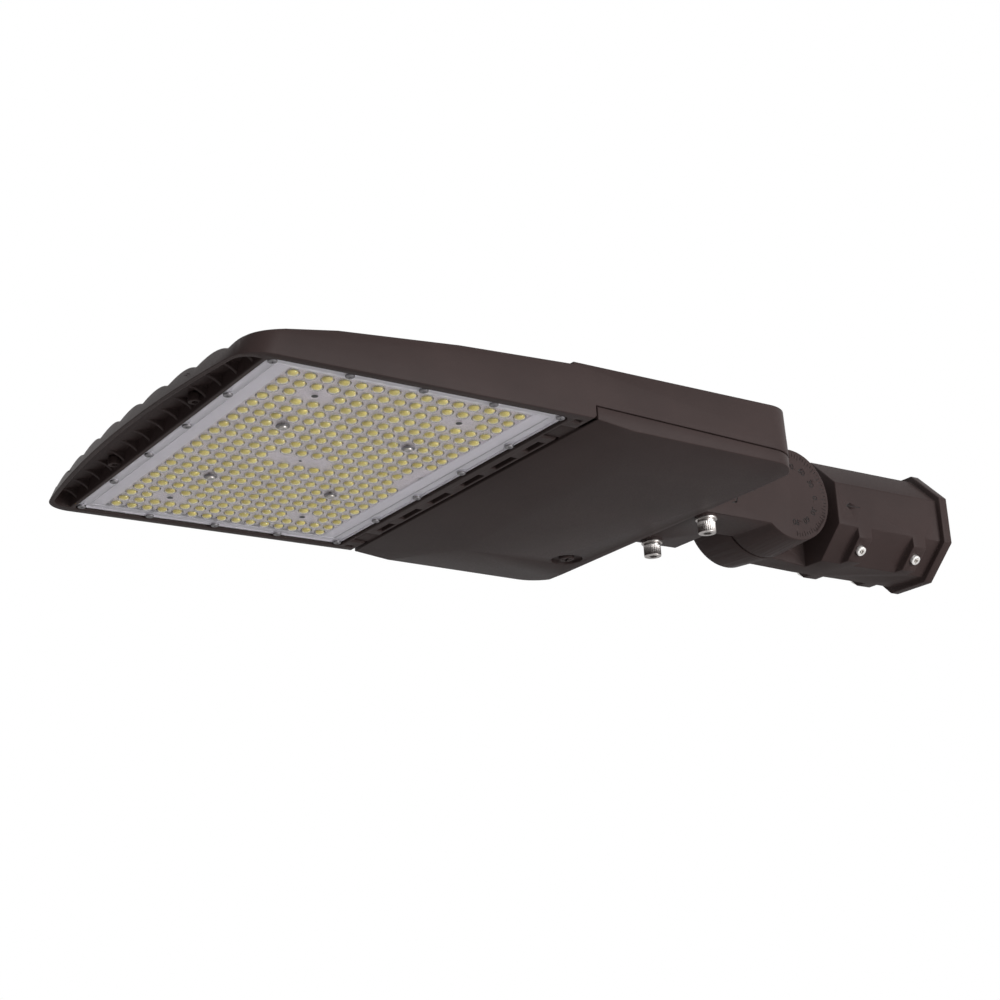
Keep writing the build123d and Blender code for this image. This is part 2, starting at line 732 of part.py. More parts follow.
    # Passage of the LED leads into the bay, and the holes of the lens screws
    lead_z = led_plane + lead_hole_level
    lead_x = led_x + lead_hole_x
    lead_rise = lead_z - platform_z + 1
    stub((lead_x, 0, platform_z - 1), (0, 0, 1), lead_hole_radius, lead_rise, Mode.SUBTRACT)
    stub((lead_x, 0, lead_z), (1, 0, 0), lead_hole_radius, bay_x[0] - lead_x + 1, Mode.SUBTRACT)
    for spot in lens_screw_spots + field_spots:
        hole_start = (*spot, platform_z - 1)
        grip = lens_screw_grip + 1
        stub(hole_start, (0, 0, 1), lens_screw_radius, grip, Mode.SUBTRACT, tiny_sides)

# LED board
board_inset = gasket_inset + gasket_width + board_gap
screw_way = lens_screw_radius + lens_screw_clearance
with BuildPart() as led_board:
    with BuildSketch(Plane.XY.offset(board_bottom)):
        with Locations((lens_mid_x, 0)):
            Rectangle(lens_length - 2 * board_inset, 2 * (lens_half - board_inset))
        with Locations(*field_spots):
            RegularPolygon(screw_way, tiny_sides, major_radius=False, mode=Mode.SUBTRACT)
        with Locations((led_x + lead_hole_x, 0)):
            RegularPolygon(lead_hole_radius - 1, small_sides, mode=Mode.SUBTRACT)
    extrude(amount=board_thickness)

# Lens plate: one moulded plate with a thick border and one raised lens over each LED
with BuildPart() as lens_plate:
    with BuildSketch(Plane.XY.offset(lens_bottom)):
        with Locations((lens_mid_x, 0)):
            RectangleRounded(lens_length, 2 * lens_half, lens_corner)
        with Locations(*lens_screw_spots, *field_spots):
            RegularPolygon(screw_way, tiny_sides, major_radius=False, mode=Mode.SUBTRACT)
    extrude(amount=lens_thickness)
    with BuildSketch(Plane.XY.offset(border_bottom)):
        with Locations((lens_mid_x, 0)):
            RectangleRounded(lens_length, 2 * lens_half, lens_corner)
            Rectangle(
                lens_length - 2 * lens_border, 2 * (lens_half - lens_border), mode=Mode.SUBTRACT
            )
        with Locations(*lens_screw_spots):
            RegularPolygon(screw_way, tiny_sides, major_radius=False, mode=Mode.SUBTRACT)
    extrude(amount=lens_border_height)
    crown = (led_pitch_x / 2, led_pitch_y / 2)
    lens_size = (led_pitch_x, dome_height, led_pitch_y)
    with Locations(*[Location((*spot, lens_bottom), (-90, 0, 0)) for spot in led_spots]):
        Wedge(*lens_size, *crown, *crown, align=(Align.CENTER, Align.MIN, Align.CENTER))
with BuildPart() as lens_gasket:
    with BuildSketch(Plane.XY.offset(lens_top)):
        with Locations((lens_mid_x, 0)):
            Rectangle(lens_length - 2 * gasket_inset, 2 * (lens_half - gasket_inset))
            inner = gasket_inset + gasket_width
            Rectangle(lens_length - 2 * inner, 2 * (lens_half - inner), mode=Mode.SUBTRACT)
    extrude(amount=platform_z - lens_top)


def lens_screw_set(spots, seat_z):
    """Small pan head screws at plan spots, their heads under seat_z."""
    grip_z = platform_z + lens_screw_grip - 1
    with BuildPart() as screws:
        for spot in spots:
            seat = (*spot, seat_z)
            shank = lens_screw_radius - thread_clearance
            stub(seat, (0, 0, -1), lens_screw_head_radius, lens_screw_head_height, sides=tiny_sides)
            stub(seat, (0, 0, 1), shank, grip_z - seat_z, sides=tiny_sides)
    return screws.part


lens_screws = lens_screw_set(lens_screw_spots, border_bottom)
field_seat = lens_bottom - field_washer_thickness
field_screws = lens_screw_set(field_spots, field_seat)
with BuildPart() as field_washers:
    with BuildSketch(Plane.XY.offset(field_seat)):
        with Locations(*field_spots):
            RegularPolygon(field_washer_radius, small_sides)
            RegularPolygon(screw_way, tiny_sides, major_radius=False, mode=Mode.SUBTRACT)
    extrude(amount=field_washer_thickness)


def door_slab(inset):
    """Plain slab in the door's plan outline, from its floor to the seam, drawn in by inset."""
    floor_z = led_plane - door_floor
    outline = head_outline(door_side_gap + inset, 0)
    front = door_front_x + door_front_gap + inset
    with BuildPart() as slab:
        with BuildSketch(Plane.XY.offset(floor_z)):
            add(outline)
        extrude(amount=door_floor + split_front)
        block((front, rear_x), (-half_width, half_width), (floor_z, ceiling_z), Mode.INTERSECT)
    return slab.part


def door_solid(inset):
    """Faceted tray volume of the door, open-ended upwards, drawn in by inset."""
    floor_z = led_plane - door_floor
    front = door_front_x + door_front_gap
    fold_x = door_front_x + door_slope_run
    slab = door_slab(inset)
    with BuildPart() as tray:
        add(slab)
        front_edge = Vector(front, 0, led_plane - door_front_level)
        front_fold = Vector(fold_x, 0, floor_z)
        across = Vector(0, 1, 0)
        facets = [(front_fold, Vector(0, 0, 1)), (front_fold, across.cross(front_edge - front_fold))]
        rear_fold = Vector(rear_x - door_rear_margin, 0, floor_z)
        facets.append((rear_fold, Vector(-door_rear_chamfer, 0, door_rear_margin)))
        for side in (-1, 1):
            fold = Vector(fold_x, side * door_plateau_front, floor_z)
            along = Vector(rear_x - door_rear_margin, side * door_plateau_rear, floor_z) - fold
            reach_x = door_front_x + door_side_reach[0]
            reach = Vector(reach_x, side * door_side_reach[1], floor_z + door_side_rise) - fold
            facets.append((fold, along.cross(reach) * side))
        for point, normal in facets:
            up = normal.normalized()
            split(bisect_by=Plane(origin=point + up * inset, z_dir=up), keep=Keep.TOP)
    return tray.part


# Driver door: faceted tray on two hinge tabs
door_outside = door_solid(0)
door_inside = door_solid(door_wall)
door_floor_z = led_plane - door_floor
with BuildPart() as driver_door:
    add(door_outside)
    split(bisect_by=seam_plane(door_gap), keep=Keep.BOTTOM)
    add(door_inside, mode=Mode.SUBTRACT)
    for side in (-1, 1):
        tab = (side * hinge_y - hinge_width / 2, side * hinge_y + hinge_width / 2)
        stub((hinge_x, tab[0], hinge_z), (0, 1, 0), hinge_barrel_radius, hinge_width)
        tab_x = (hinge_x, door_front_x + door_front_gap + door_wall / 2)
        tab_z = (hinge_z - hinge_barrel_radius, led_plane + split_front - door_gap - gasket_gap)
        block(tab_x, tab, tab_z)
        pin_hole = hinge_pin_radius + hinge_pin_clearance
        rod((hinge_x, tab[0], hinge_z), (0, 1, 0), pin_hole, hinge_width, Mode.SUBTRACT)
    screw_spot = (screw_x, screw_y, door_floor_z)
    shank_hole = screw_shank_radius + screw_running_clearance
    stub(screw_spot, (0, 0, 1), screw_boss_radius, screw_boss_height)
    stub(screw_spot, (0, 0, 1), screw_recess_radius, screw_recess_depth, Mode.SUBTRACT)
    rod(screw_spot, (0, 0, 1), shank_hole, screw_boss_height, Mode.SUBTRACT)
gasket_outside = door_slab(door_wall)
gasket_inside = door_slab(door_wall + gasket_thickness)
with BuildPart() as door_gasket:
    add(gasket_outside)
    add(gasket_inside, mode=Mode.SUBTRACT)
    split(bisect_by=seam_plane(gasket_gap), keep=Keep.BOTTOM)
    split(bisect_by=seam_plane(gasket_gap + gasket_height), keep=Keep.TOP)
with BuildPart() as hinge_pins:
    for side in (-1, 1):
        pin_start = (hinge_x, side * hinge_y - pin_half, hinge_z)
        rod(pin_start, (0, 1, 0), hinge_pin_radius, 2 * pin_half)

# Captive screw of the door and its retaining clip
seat_z = door_floor_z + screw_recess_depth
with BuildPart() as captive_screw:
    stub((screw_x, screw_y, seat_z), (0, 0, -1), screw_head_radius, screw_head_height)
    rod((screw_x, screw_y, seat_z), (0, 0, 1), screw_shank_radius, post_z + screw_engagement - seat_z)
    for turn in ((screw_slot[0], screw_slot[1]), (screw_slot[1], screw_slot[0])):
        block(
            (screw_x - turn[0] / 2, screw_x + turn[0] / 2),
            (screw_y - turn[1] / 2, screw_y + turn[1] / 2),
            (seat_z - screw_head_height, seat_z - screw_head_height + screw_slot[2]),
            Mode.SUBTRACT,
        )
with BuildPart() as screw_clip:
    clip_z = door_floor_z + screw_boss_height
    stub((screw_x, screw_y, clip_z), (0, 0, 1), screw_clip_radius, screw_clip_thickness)
    stub((screw_x, screw_y, clip_z), (0, 0, 1), shank_hole, screw_clip_thickness, Mode.SUBTRACT)

# Driver bay: one standoff takes the captive screw, two carry the driver
with BuildPart() as bay_standoffs:
    post = (screw_x, screw_y, post_z)
    hexagon(post, (0, 0, 1), screw_post_flats, ceiling_z - post_z)
    screw_hole = screw_shank_radius + screw_shank_clearance
    stub(post, (0, 0, 1), screw_hole, screw_engagement + 2, Mode.SUBTRACT)
    for side in (-1, 1):
        standoff = (driver_x, side * driver_end, standoff_z)
        hexagon(standoff, (0, 0, 1), standoff_flats, standoff_height)
        stub(standoff, (0, 0, 1), driver_screw_radius, standoff_height, Mode.SUBTRACT, tiny_sides)
driver_sides = (driver_x - driver_width / 2, driver_x + driver_width / 2)
driver_ends = (-driver_length / 2, driver_length / 2)
with BuildPart() as led_driver:
    block(driver_sides, driver_ends, (standoff_z - driver_height, standoff_z))
    fillet(led_driver.edges().filter_by(Axis.Y), 3)
    tab_half = driver_length / 2 + driver_tab
    tab_z = (standoff_z - driver_tab_thickness, standoff_z)
    block((driver_x - driver_tab, driver_x + driver_tab), (-tab_half, tab_half), tab_z)
    for side in (-1, 1):
        hole = driver_screw_radius + lens_screw_clearance
        seat = (driver_x, side * driver_end, tab_z[0])
        stub(seat, (0, 0, 1), hole, driver_tab_thickness, Mode.SUBTRACT, tiny_sides)
with BuildPart() as driver_screws:
    for side in (-1, 1):
        seat = (driver_x, side * driver_end, tab_z[0])
        stub(seat, (0, 0, -1), driver_screw_head[0], driver_screw_head[1])
        shaft = driver_screw_length + driver_tab_thickness - 1
        shank = driver_screw_radius - thread_clearance
        stub(seat, (0, 0, 1), shank, shaft, sides=tiny_sides)
with BuildPart() as surge_protector:
    surge_x = led_x + surge_spot[0]
    block(
        (surge_x - surge_width / 2, surge_x + surge_width / 2),
        (surge_spot[1] - surge_length / 2, surge_spot[1] + surge_length / 2),
        (ceiling_z - surge_height, ceiling_z),
    )
    fillet(surge_protector.edges().filter_by(Axis.Z), 3)
with BuildPart() as terminal_block:
    terminal_x = led_x + terminal_spot[0]
    terminal_length = terminal_poles * terminal_pole_pitch + 2 * terminal_wire_hole
    terminal_z = (ceiling_z - terminal_height, ceiling_z)
    terminal_face = terminal_x + terminal_width / 2
    block(
        (terminal_x - terminal_width / 2, terminal_face),
        (terminal_spot[1] - terminal_length / 2, terminal_spot[1] + terminal_length / 2),
        terminal_z,
    )
    for pole in range(terminal_poles):
        pole_y = terminal_spot[1] + (pole - (terminal_poles - 1) / 2) * terminal_pole_pitch
        wire_in = (terminal_face, pole_y, terminal_z[0] + terminal_height / 2)
        depth = terminal_width / 2
        stub(wire_in, (-1, 0, 0), terminal_wire_hole, depth, Mode.SUBTRACT, tiny_sides)
        screw_in = (terminal_x, pole_y, terminal_z[0])
        depth = terminal_height / 4
        stub(screw_in, (0, 0, 1), terminal_screw_hole, depth, Mode.SUBTRACT, tiny_sides)
with BuildPart() as wire_grommet:
    grommet_x = bay_x[0]
    stub((grommet_x, 0, lead_z), (-1, 0, 0), lead_hole_radius, grommet_flange)
    stub((grommet_x, 0, lead_z), (1, 0, 0), lead_hole_radius + grommet_flange, grommet_flange / 2)
    bore_start = (grommet_x - grommet_flange, 0, lead_z)
    stub(bore_start, (1, 0, 0), grommet_bore, 2 * grommet_flange, Mode.SUBTRACT, tiny_sides)

save(slip_fitter.part, "slip_fitter_sleeve")
save(tenon_set_screws.part, "tenon_set_screws")
save(knuckle_arm.part, "knuckle_arm")
save(arm_flat_washers.part, "arm_flat_washers")
save(arm_lock_washers.part, "arm_lock_washers")
save(arm_bolts.part, "arm_bolts")
save(pivot_washer.part, "pivot_washer")
save(pivot_lock_washer.part, "pivot_lock_washer")
save(pivot_bolt.part, "pivot_bolt")
save(main_housing.part, "main_housing")
save(led_board.part, "led_board")
save(lens_plate.part, "lens_plate")
save(lens_gasket.part, "lens_gasket")
save(lens_screws, "lens_screws")
save(field_screws, "field_screws")
save(field_washers.part, "field_washers")
save(driver_door.part, "driver_door")
save(door_gasket.part, "door_gasket")
save(hinge_pins.part, "hinge_pins")
save(captive_screw.part, "captive_screw")
save(screw_clip.part, "screw_clip")
save(bay_standoffs.part, "bay_standoffs")
save(led_driver.part, "led_driver")
save(driver_screws.part, "driver_screws")
save(surge_protector.part, "surge_protector")
save(terminal_block.part, "terminal_block")
save(wire_grommet.part, "wire_grommet")
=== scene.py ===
"""LED area street light on an adjustable slip fitter, dressed for its pictures.

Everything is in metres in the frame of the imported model: the origin is the centre of
the tenon bore's mouth, +X points out of the mouth and +Z is up. The light shines down.
"""

import json
import logging
import math
from dataclasses import dataclass
from enum import Enum
from typing import Callable, Sequence

import bmesh
import bpy
from mathutils import Matrix, Vector


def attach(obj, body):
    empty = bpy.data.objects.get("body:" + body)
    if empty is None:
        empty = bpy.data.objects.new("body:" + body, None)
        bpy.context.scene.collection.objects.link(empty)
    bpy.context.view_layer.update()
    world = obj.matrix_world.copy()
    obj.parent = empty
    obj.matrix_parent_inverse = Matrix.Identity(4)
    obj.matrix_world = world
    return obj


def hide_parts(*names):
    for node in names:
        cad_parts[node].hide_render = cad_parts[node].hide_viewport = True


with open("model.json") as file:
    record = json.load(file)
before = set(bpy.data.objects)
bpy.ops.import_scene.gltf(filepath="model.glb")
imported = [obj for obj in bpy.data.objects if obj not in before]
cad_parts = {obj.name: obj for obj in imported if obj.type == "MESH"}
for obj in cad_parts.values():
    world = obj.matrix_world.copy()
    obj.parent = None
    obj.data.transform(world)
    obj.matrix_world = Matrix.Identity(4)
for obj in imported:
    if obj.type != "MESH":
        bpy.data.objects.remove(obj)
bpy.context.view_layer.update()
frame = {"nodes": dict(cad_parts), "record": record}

log = logging.getLogger("street_light")
MM = 0.001
Colour = tuple[float, float, float]
Point = tuple[float, float, float]
Profile = tuple[tuple[float, float], ...]
DOWN = Vector((0, 0, -1))
NOISE_RANGE = (0.3, 0.7)
CLOUD_RANGE = (0.35, 0.65)
NEAR = 0.01 * MM
BODY_OF = {
    node: body
    for body, members in frame["record"]["behaviour"]["bodies"].items()
    for node in members
}


def mm(*values: float) -> Vector:
    """Returns a point or a size given in millimetres, in metres."""
    return Vector(values) * MM


class Part(Enum):
    """What an edit picks."""

    POINTS = "VERT"
    EDGES = "EDGE"
    FACES = "FACE"


class Recess(Enum):
    """Drive recess of a screw head."""

    HEXAGON = "hexagon"
    CROSS = "cross"


# Finishes


class NodeDesk:
    """The node tree of one material or of the world, with the nodes that they share."""

    def __init__(self, owner: bpy.types.Material | bpy.types.World) -> None:
        """Takes a new material or world and finds its first shader.

        Args:
            owner: The material or the world.
        """
        owner.use_nodes = True
        self.owner = owner
        self.tree = owner.node_tree
        nodes = self.tree.nodes
        self.shader = nodes.get("Principled BSDF") or nodes["Background"]

    def set(self, **values: float | Colour) -> None:
        """Sets the shader's own sockets.

        Args:
            **values: The values, named as the sockets with underscores for spaces.
        """
        for name, value in values.items():
            socket = self.shader.inputs[name.replace("_", " ")]
            socket.default_value = (*value, 1.0) if isinstance(value, tuple) else value

    def feed(self, socket: str, source: bpy.types.NodeSocket) -> None:
        """Links a node's output to one of the shader's sockets."""
        self.tree.links.new(source, self.shader.inputs[socket])

    def node(self, kind: str, **inputs: object) -> bpy.types.Node:
        """Adds a node.

        Args:
            kind: Its kind, as Blender calls it after ShaderNode.
            **inputs: Values or other nodes' outputs, named as the inputs.

        Returns:
            The node.
        """
        node = self.tree.nodes.new("ShaderNode" + kind)
        for name, value in inputs.items():
            socket = node.inputs[name.replace("_", " ")]
            if isinstance(value, bpy.types.NodeSocket):
                self.tree.links.new(value, socket)
            else:
                socket.default_value = value
        return node

    def fill(self, node: bpy.types.Node, *sources: bpy.types.NodeSocket) -> bpy.types.NodeSocket:
        """Links a node's first inputs in their order.

        Args:
            node: The node.
            *sources: The outputs that go into it.

        Returns:
            The node's output.
        """
        for socket, source in zip(node.inputs, sources):
            self.tree.links.new(source, socket)
        return node.outputs[0]

    def surface(self, source: bpy.types.NodeSocket) -> None:
        """Makes a shader the surface of the material or the world."""
        output = next(node for node in self.tree.nodes if "Surface" in node.inputs)
        self.tree.links.new(source, output.inputs["Surface"])

    def noise(
        self, scale: float, detail: float = 2.0, stretch: Point = (1.0, 1.0, 1.0)
    ) -> bpy.types.NodeSocket:
        """Adds a noise that sits on the piece.

        Args:
            scale: Features per metre.
            detail: Octaves.
            stretch: Scale along each axis before the noise.

        Returns:
            The noise's value.
        """
        place = self.node("TexCoord").outputs["Object"]
        stretched = self.node("Mapping", Vector=place, Scale=stretch).outputs["Vector"]
        return self.node("TexNoise", Vector=stretched, Scale=scale, Detail=detail).outputs["Fac"]

    def ramp(
        self, value: bpy.types.NodeSocket, low: Colour, high: Colour, span: tuple[float, float]
    ) -> bpy.types.NodeSocket:
        """Turns a value into a colour between two colours.

        Args:
            value: The value from 0 to 1.
            low: The colour at and under the span's start.
            high: The colour at and over the span's end.
            span: The two places on the value.

        Returns:
            The colour.
        """
        ramp = self.node("ValToRGB", Fac=value)
        for stop, place, colour in zip(ramp.color_ramp.elements, span, (low, high)):
            stop.position = place
            stop.color = (*colour, 1.0)
        return ramp.outputs["Color"]

    def span(self, value: bpy.types.NodeSocket, low: float, high: float) -> bpy.types.NodeSocket:
        """Stretches a noise's middle range.

        Args:
            value: The noise's value.
            low: What the range's start becomes.
            high: What the range's end becomes.

        Returns:
            The stretched value.
        """
        start, end = NOISE_RANGE
        stretched = self.node(
            "MapRange", Value=value, From_Min=start, From_Max=end, To_Min=low, To_Max=high
        )
        return stretched.outputs["Result"]

    def relief(self, height: bpy.types.NodeSocket, depth: float, strength: float) -> None:
        """Gives the surface a fine relief.

        Args:
            height: The height from 0 to 1.
            depth: What a height of 1 is, in metres.
            strength: How much of it shows.
        """
        bump = self.node("Bump", Height=height, Distance=depth, Strength=strength)
        self.feed("Normal", bump.outputs["Normal"])


@dataclass(frozen=True)
class PowderCoat:
    """Baked, finely textured paint on die-cast metal."""

    name: str = "bronze_powder_coat"
    colour: Colour = (0.029, 0.0190, 0.0180)
    shade: Colour = (0.024, 0.0158, 0.0150)
    roughness: tuple[float, float] = (0.44, 0.56)
    clouds: float = 14.0
    grain: float = 1500.0
    depth: float = 0.00012
    gloss: float = 0.08

    def material(self) -> bpy.types.Material:
        """Makes the finish.

        Returns:
            The material.
        """
        desk = NodeDesk(bpy.data.materials.new(self.name))
        clouds = desk.noise(self.clouds, 4.0)
        speckle = desk.noise(self.grain)
        desk.feed("Base Color", desk.ramp(clouds, self.shade, self.colour, CLOUD_RANGE))
        desk.feed("Roughness", desk.span(speckle, *self.roughness))
        desk.set(Specular_IOR_Level=self.gloss)
        desk.relief(speckle, self.depth, 0.35)
        return desk.owner


@dataclass(frozen=True)
class TurnedSteel:
    """Stainless steel with fine turning or rolling marks."""

    name: str = "stainless_steel"
    colour: Colour = (0.52, 0.49, 0.47)
    shade: Colour = (0.36, 0.33, 0.32)
    roughness: tuple[float, float] = (0.26, 0.42)
    grain: float = 700.0
    stretch: Point = (1.0, 1.0, 6.0)
    depth: float = 0.00005

    def material(self) -> bpy.types.Material:
        """Makes the finish.

        Returns:
            The material.
        """
        desk = NodeDesk(bpy.data.materials.new(self.name))
        marks = desk.noise(self.grain, 3.0, self.stretch)
        desk.feed("Base Color", desk.ramp(marks, self.shade, self.colour, (0.3, 0.6)))
        desk.feed("Roughness", desk.span(marks, *self.roughness))
        desk.set(Metallic=1.0)
        desk.relief(marks, self.depth, 0.4)
        return desk.owner


@dataclass(frozen=True)
class ClearMoulding:
    """Clear or frosted polycarbonate."""

    name: str = "clear_polycarbonate"
    colour: Colour = (0.99, 0.97, 0.99)
    roughness: tuple[float, float] = (0.10, 0.20)
    refraction: float = 1.5
    through: float = 1.0
    grain: float = 260.0
    depth: float = 0.00008

    def material(self) -> bpy.types.Material:
        """Makes the finish.

        Returns:
            The material.
        """
        desk = NodeDesk(bpy.data.materials.new(self.name))
        haze = desk.noise(self.grain, 3.0)
        desk.feed("Roughness", desk.span(haze, *self.roughness))
        desk.set(Base_Color=self.colour, Transmission_Weight=self.through, IOR=self.refraction)
        desk.relief(haze, self.depth, 0.12)
        return desk.owner


@dataclass(frozen=True)
class PlainMoulding:
    """Opaque plastic, rubber or lacquer with a fine grain and soft clouds of tone."""

    name: str
    colour: Colour
    shade: Colour
    roughness: tuple[float, float] = (0.45, 0.6)
    grain: float = 900.0
    clouds: float = 40.0
    depth: float = 0.00006
    metal: float = 0.0

    def material(self) -> bpy.types.Material:
        """Makes the finish.

        Returns:
            The material.
        """
        desk = NodeDesk(bpy.data.materials.new(self.name))
        clouds = desk.noise(self.clouds, 4.0)
        grain = desk.noise(self.grain)
        desk.feed("Base Color", desk.ramp(clouds, self.shade, self.colour, CLOUD_RANGE))
        desk.feed("Roughness", desk.span(grain, *self.roughness))
        desk.set(Metallic=self.metal)
        desk.relief(grain, self.depth, 0.3)
        return desk.owner


class Finishes:
    """The finishes of the street light, each made into a material once."""

    def __init__(self) -> None:
        """Makes every material."""
        self.paint = PowderCoat().material()
        self.steel = TurnedSteel().material()
        self.zinc = TurnedSteel(
            "zinc_plated_steel", (0.86, 0.84, 0.82), (0.66, 0.64, 0.62), (0.36, 0.5)
        ).material()
        self.dull = TurnedSteel(
            "dull_steel", (0.24, 0.23, 0.24), (0.16, 0.155, 0.16), (0.4, 0.55)
        ).material()
        self.clear = ClearMoulding().material()
        self.frosted = ClearMoulding(
            "frosted_border", (0.80, 0.77, 0.83), (0.30, 0.45), through=0.6
        ).material()
        # Near-black paint for the cut faces of the engraved marks: painted shade in their recesses.
        self.engraved = PlainMoulding(
            "engraved_painted_shade", (0.0045, 0.0035, 0.0035), (0.003, 0.0025, 0.0025), (0.7, 0.8)
        ).material()
        self.board = PlainMoulding(
            "board_lacquer", (0.90, 0.82, 0.87), (0.85, 0.77, 0.82), (0.35, 0.5)
        ).material()
        self.package = PlainMoulding(
            "led_package", (0.72, 0.70, 0.66), (0.66, 0.63, 0.58), (0.4, 0.5)
        ).material()
        self.phosphor = PlainMoulding(
            "led_phosphor", (0.92, 0.80, 0.20), (0.82, 0.69, 0.14), (0.4, 0.55), 2400.0
        ).material()
        self.rubber = PlainMoulding(
            "gasket_rubber", (0.022, 0.021, 0.020), (0.014, 0.013, 0.013), (0.6, 0.8)
        ).material()
        self.driver = PlainMoulding(
            "driver_case", (0.50, 0.50, 0.49), (0.42, 0.42, 0.41), (0.35, 0.5), metal=0.6
        ).material()
        self.surge = PlainMoulding(
            "surge_case", (0.035, 0.035, 0.037), (0.024, 0.024, 0.026)
        ).material()
        self.terminal = PlainMoulding(
            "terminal_body", (0.62, 0.58, 0.50), (0.54, 0.50, 0.42)
        ).material()
        # Near-black discs at the small holes between the lenses: painted shade where the holes are.
        self.hole = PlainMoulding(
            "board_hole_painted_shade", (0.03, 0.027, 0.03), (0.02, 0.018, 0.02)
        ).material()


# Modelling steps


class Bench:
    """The steps that all pieces are modelled with, on Blender's own operators."""

    @staticmethod
    def hold(*pieces: bpy.types.Object) -> None:
        """Selects only these pieces, the first one active.

        Args:
            *pieces: The pieces, or none.
        """
        active = bpy.context.view_layer.objects.active
        if active is not None and active.mode != "OBJECT":
            bpy.ops.object.mode_set(mode="OBJECT")
        bpy.ops.object.select_all(action="DESELECT")
        for piece in pieces:
            piece.select_set(True)
        if pieces:
            bpy.context.view_layer.objects.active = pieces[0]

    @staticmethod
    def named(name: str) -> bpy.types.Object:
        """Names the piece that an operator has just added, and its mesh.

        Args:
            name: The name.

        Returns:
            The piece.
        """
        piece = bpy.context.view_layer.objects.active
        piece.name = name
        piece.data.name = name
        return piece

    @classmethod
    def cylinder(
        cls, name: str, radius: float, bottom: float, top: float, sides: int = 40
    ) -> bpy.types.Object:
        """Adds an upright cylinder on the Z axis.

        Args:
            name: Its name.
            radius: Its radius.
            bottom: Height of its lower end.
            top: Height of its upper end.
            sides: Number of sides.

        Returns:
            The new piece.
        """
        cls.hold()
        bpy.ops.mesh.primitive_cylinder_add(
            vertices=sides, radius=radius, depth=top - bottom, location=(0, 0, (bottom + top) / 2)
        )
        piece = cls.named(name)
        cls.settle(piece)
        return piece

    @classmethod
    def box(cls, name: str, low: Sequence[float], high: Sequence[float]) -> bpy.types.Object:
        """Adds a box between two corners.

        Args:
            name: Its name.
            low: The lower corner.
            high: The upper corner.

        Returns:
            The new piece.
        """
        cls.hold()
        middle = (Vector(low) + Vector(high)) / 2
        bpy.ops.mesh.primitive_cube_add(size=1.0, location=middle)
        piece = cls.named(name)
        piece.scale = Vector(high) - Vector(low)
        cls.settle(piece)
        return piece

    @classmethod
    def settle(cls, piece: bpy.types.Object) -> None:
        """Puts a piece's place, turn and size into its mesh."""
        cls.hold(piece)
        bpy.ops.object.transform_apply(location=True, rotation=True, scale=True)

    @classmethod
    def set_at(cls, piece: bpy.types.Object, spot: Vector, axis: Vector, turn: float = 0.0) -> None:
        """Puts a piece modelled on the Z axis at its spot.

        Args:
            piece: The piece, its seat at the origin.
            spot: Where its seat goes.
            axis: Where its Z axis goes.
            turn: Turn about that axis, in degrees.
        """
        way = Vector(axis).normalized().to_track_quat("Z", "Y").to_matrix().to_4x4()
        roll = Matrix.Rotation(math.radians(turn), 4, "Z")
        piece.matrix_world = Matrix.Translation(spot) @ way @ roll
        cls.settle(piece)

    @staticmethod
    def copy(piece: bpy.types.Object, name: str) -> bpy.types.Object:
        """Copies a piece.

        Args:
            piece: The piece.
            name: The copy's name.

        Returns:
            The copy, with a mesh of its own.
        """
        twin = bpy.data.objects.new(name, piece.data.copy())
        bpy.context.scene.collection.objects.link(twin)
        return twin

    @classmethod
    def join(cls, name: str, pieces: Sequence[bpy.types.Object]) -> bpy.types.Object:
        """Joins pieces into one.

        Args:
            name: The name of the joined piece.
            pieces: The pieces, which are used up.

        Returns:
            The joined piece.
        """
        cls.hold(*pieces)
        if len(pieces) > 1:
            bpy.ops.object.join()
        return cls.named(name)

    @classmethod
    def apply(cls, piece: bpy.types.Object, kind: str, **values: object) -> None:
        """Adds a modifier with these values and applies it.

        Args:
            piece: The piece.
            kind: Blender's name of the modifier.
            **values: The modifier's values.
        """
        modifier = piece.modifiers.new(kind.title(), kind)
        for key, value in values.items():
            setattr(modifier, key, value)
        cls.hold(piece)
        bpy.ops.object.modifier_apply(modifier=modifier.name)

    @classmethod
    def carve(
        cls, piece: bpy.types.Object, cutter: bpy.types.Object, how: str = "DIFFERENCE"
    ) -> None:
        """Cuts a piece with another one, which hands its finish on and is used up.

        Args:
            piece: The piece that is cut.
            cutter: The piece that cuts it.
            how: Blender's name of the operation.
        """
        cls.apply(
            piece,
            "BOOLEAN",
            object=cutter,
            operation=how,
            solver="EXACT",
            use_self=True,
            material_mode="TRANSFER" if cutter.data.materials else "INDEX",
        )
        bpy.data.objects.remove(cutter, do_unlink=True)

    @classmethod
    def smooth(cls, piece: bpy.types.Object, degrees: float = 35.0) -> None:
        """Shades a piece smooth but for its sharp edges."""
        cls.hold(piece)
        bpy.ops.object.shade_smooth_by_angle(angle=math.radians(degrees))


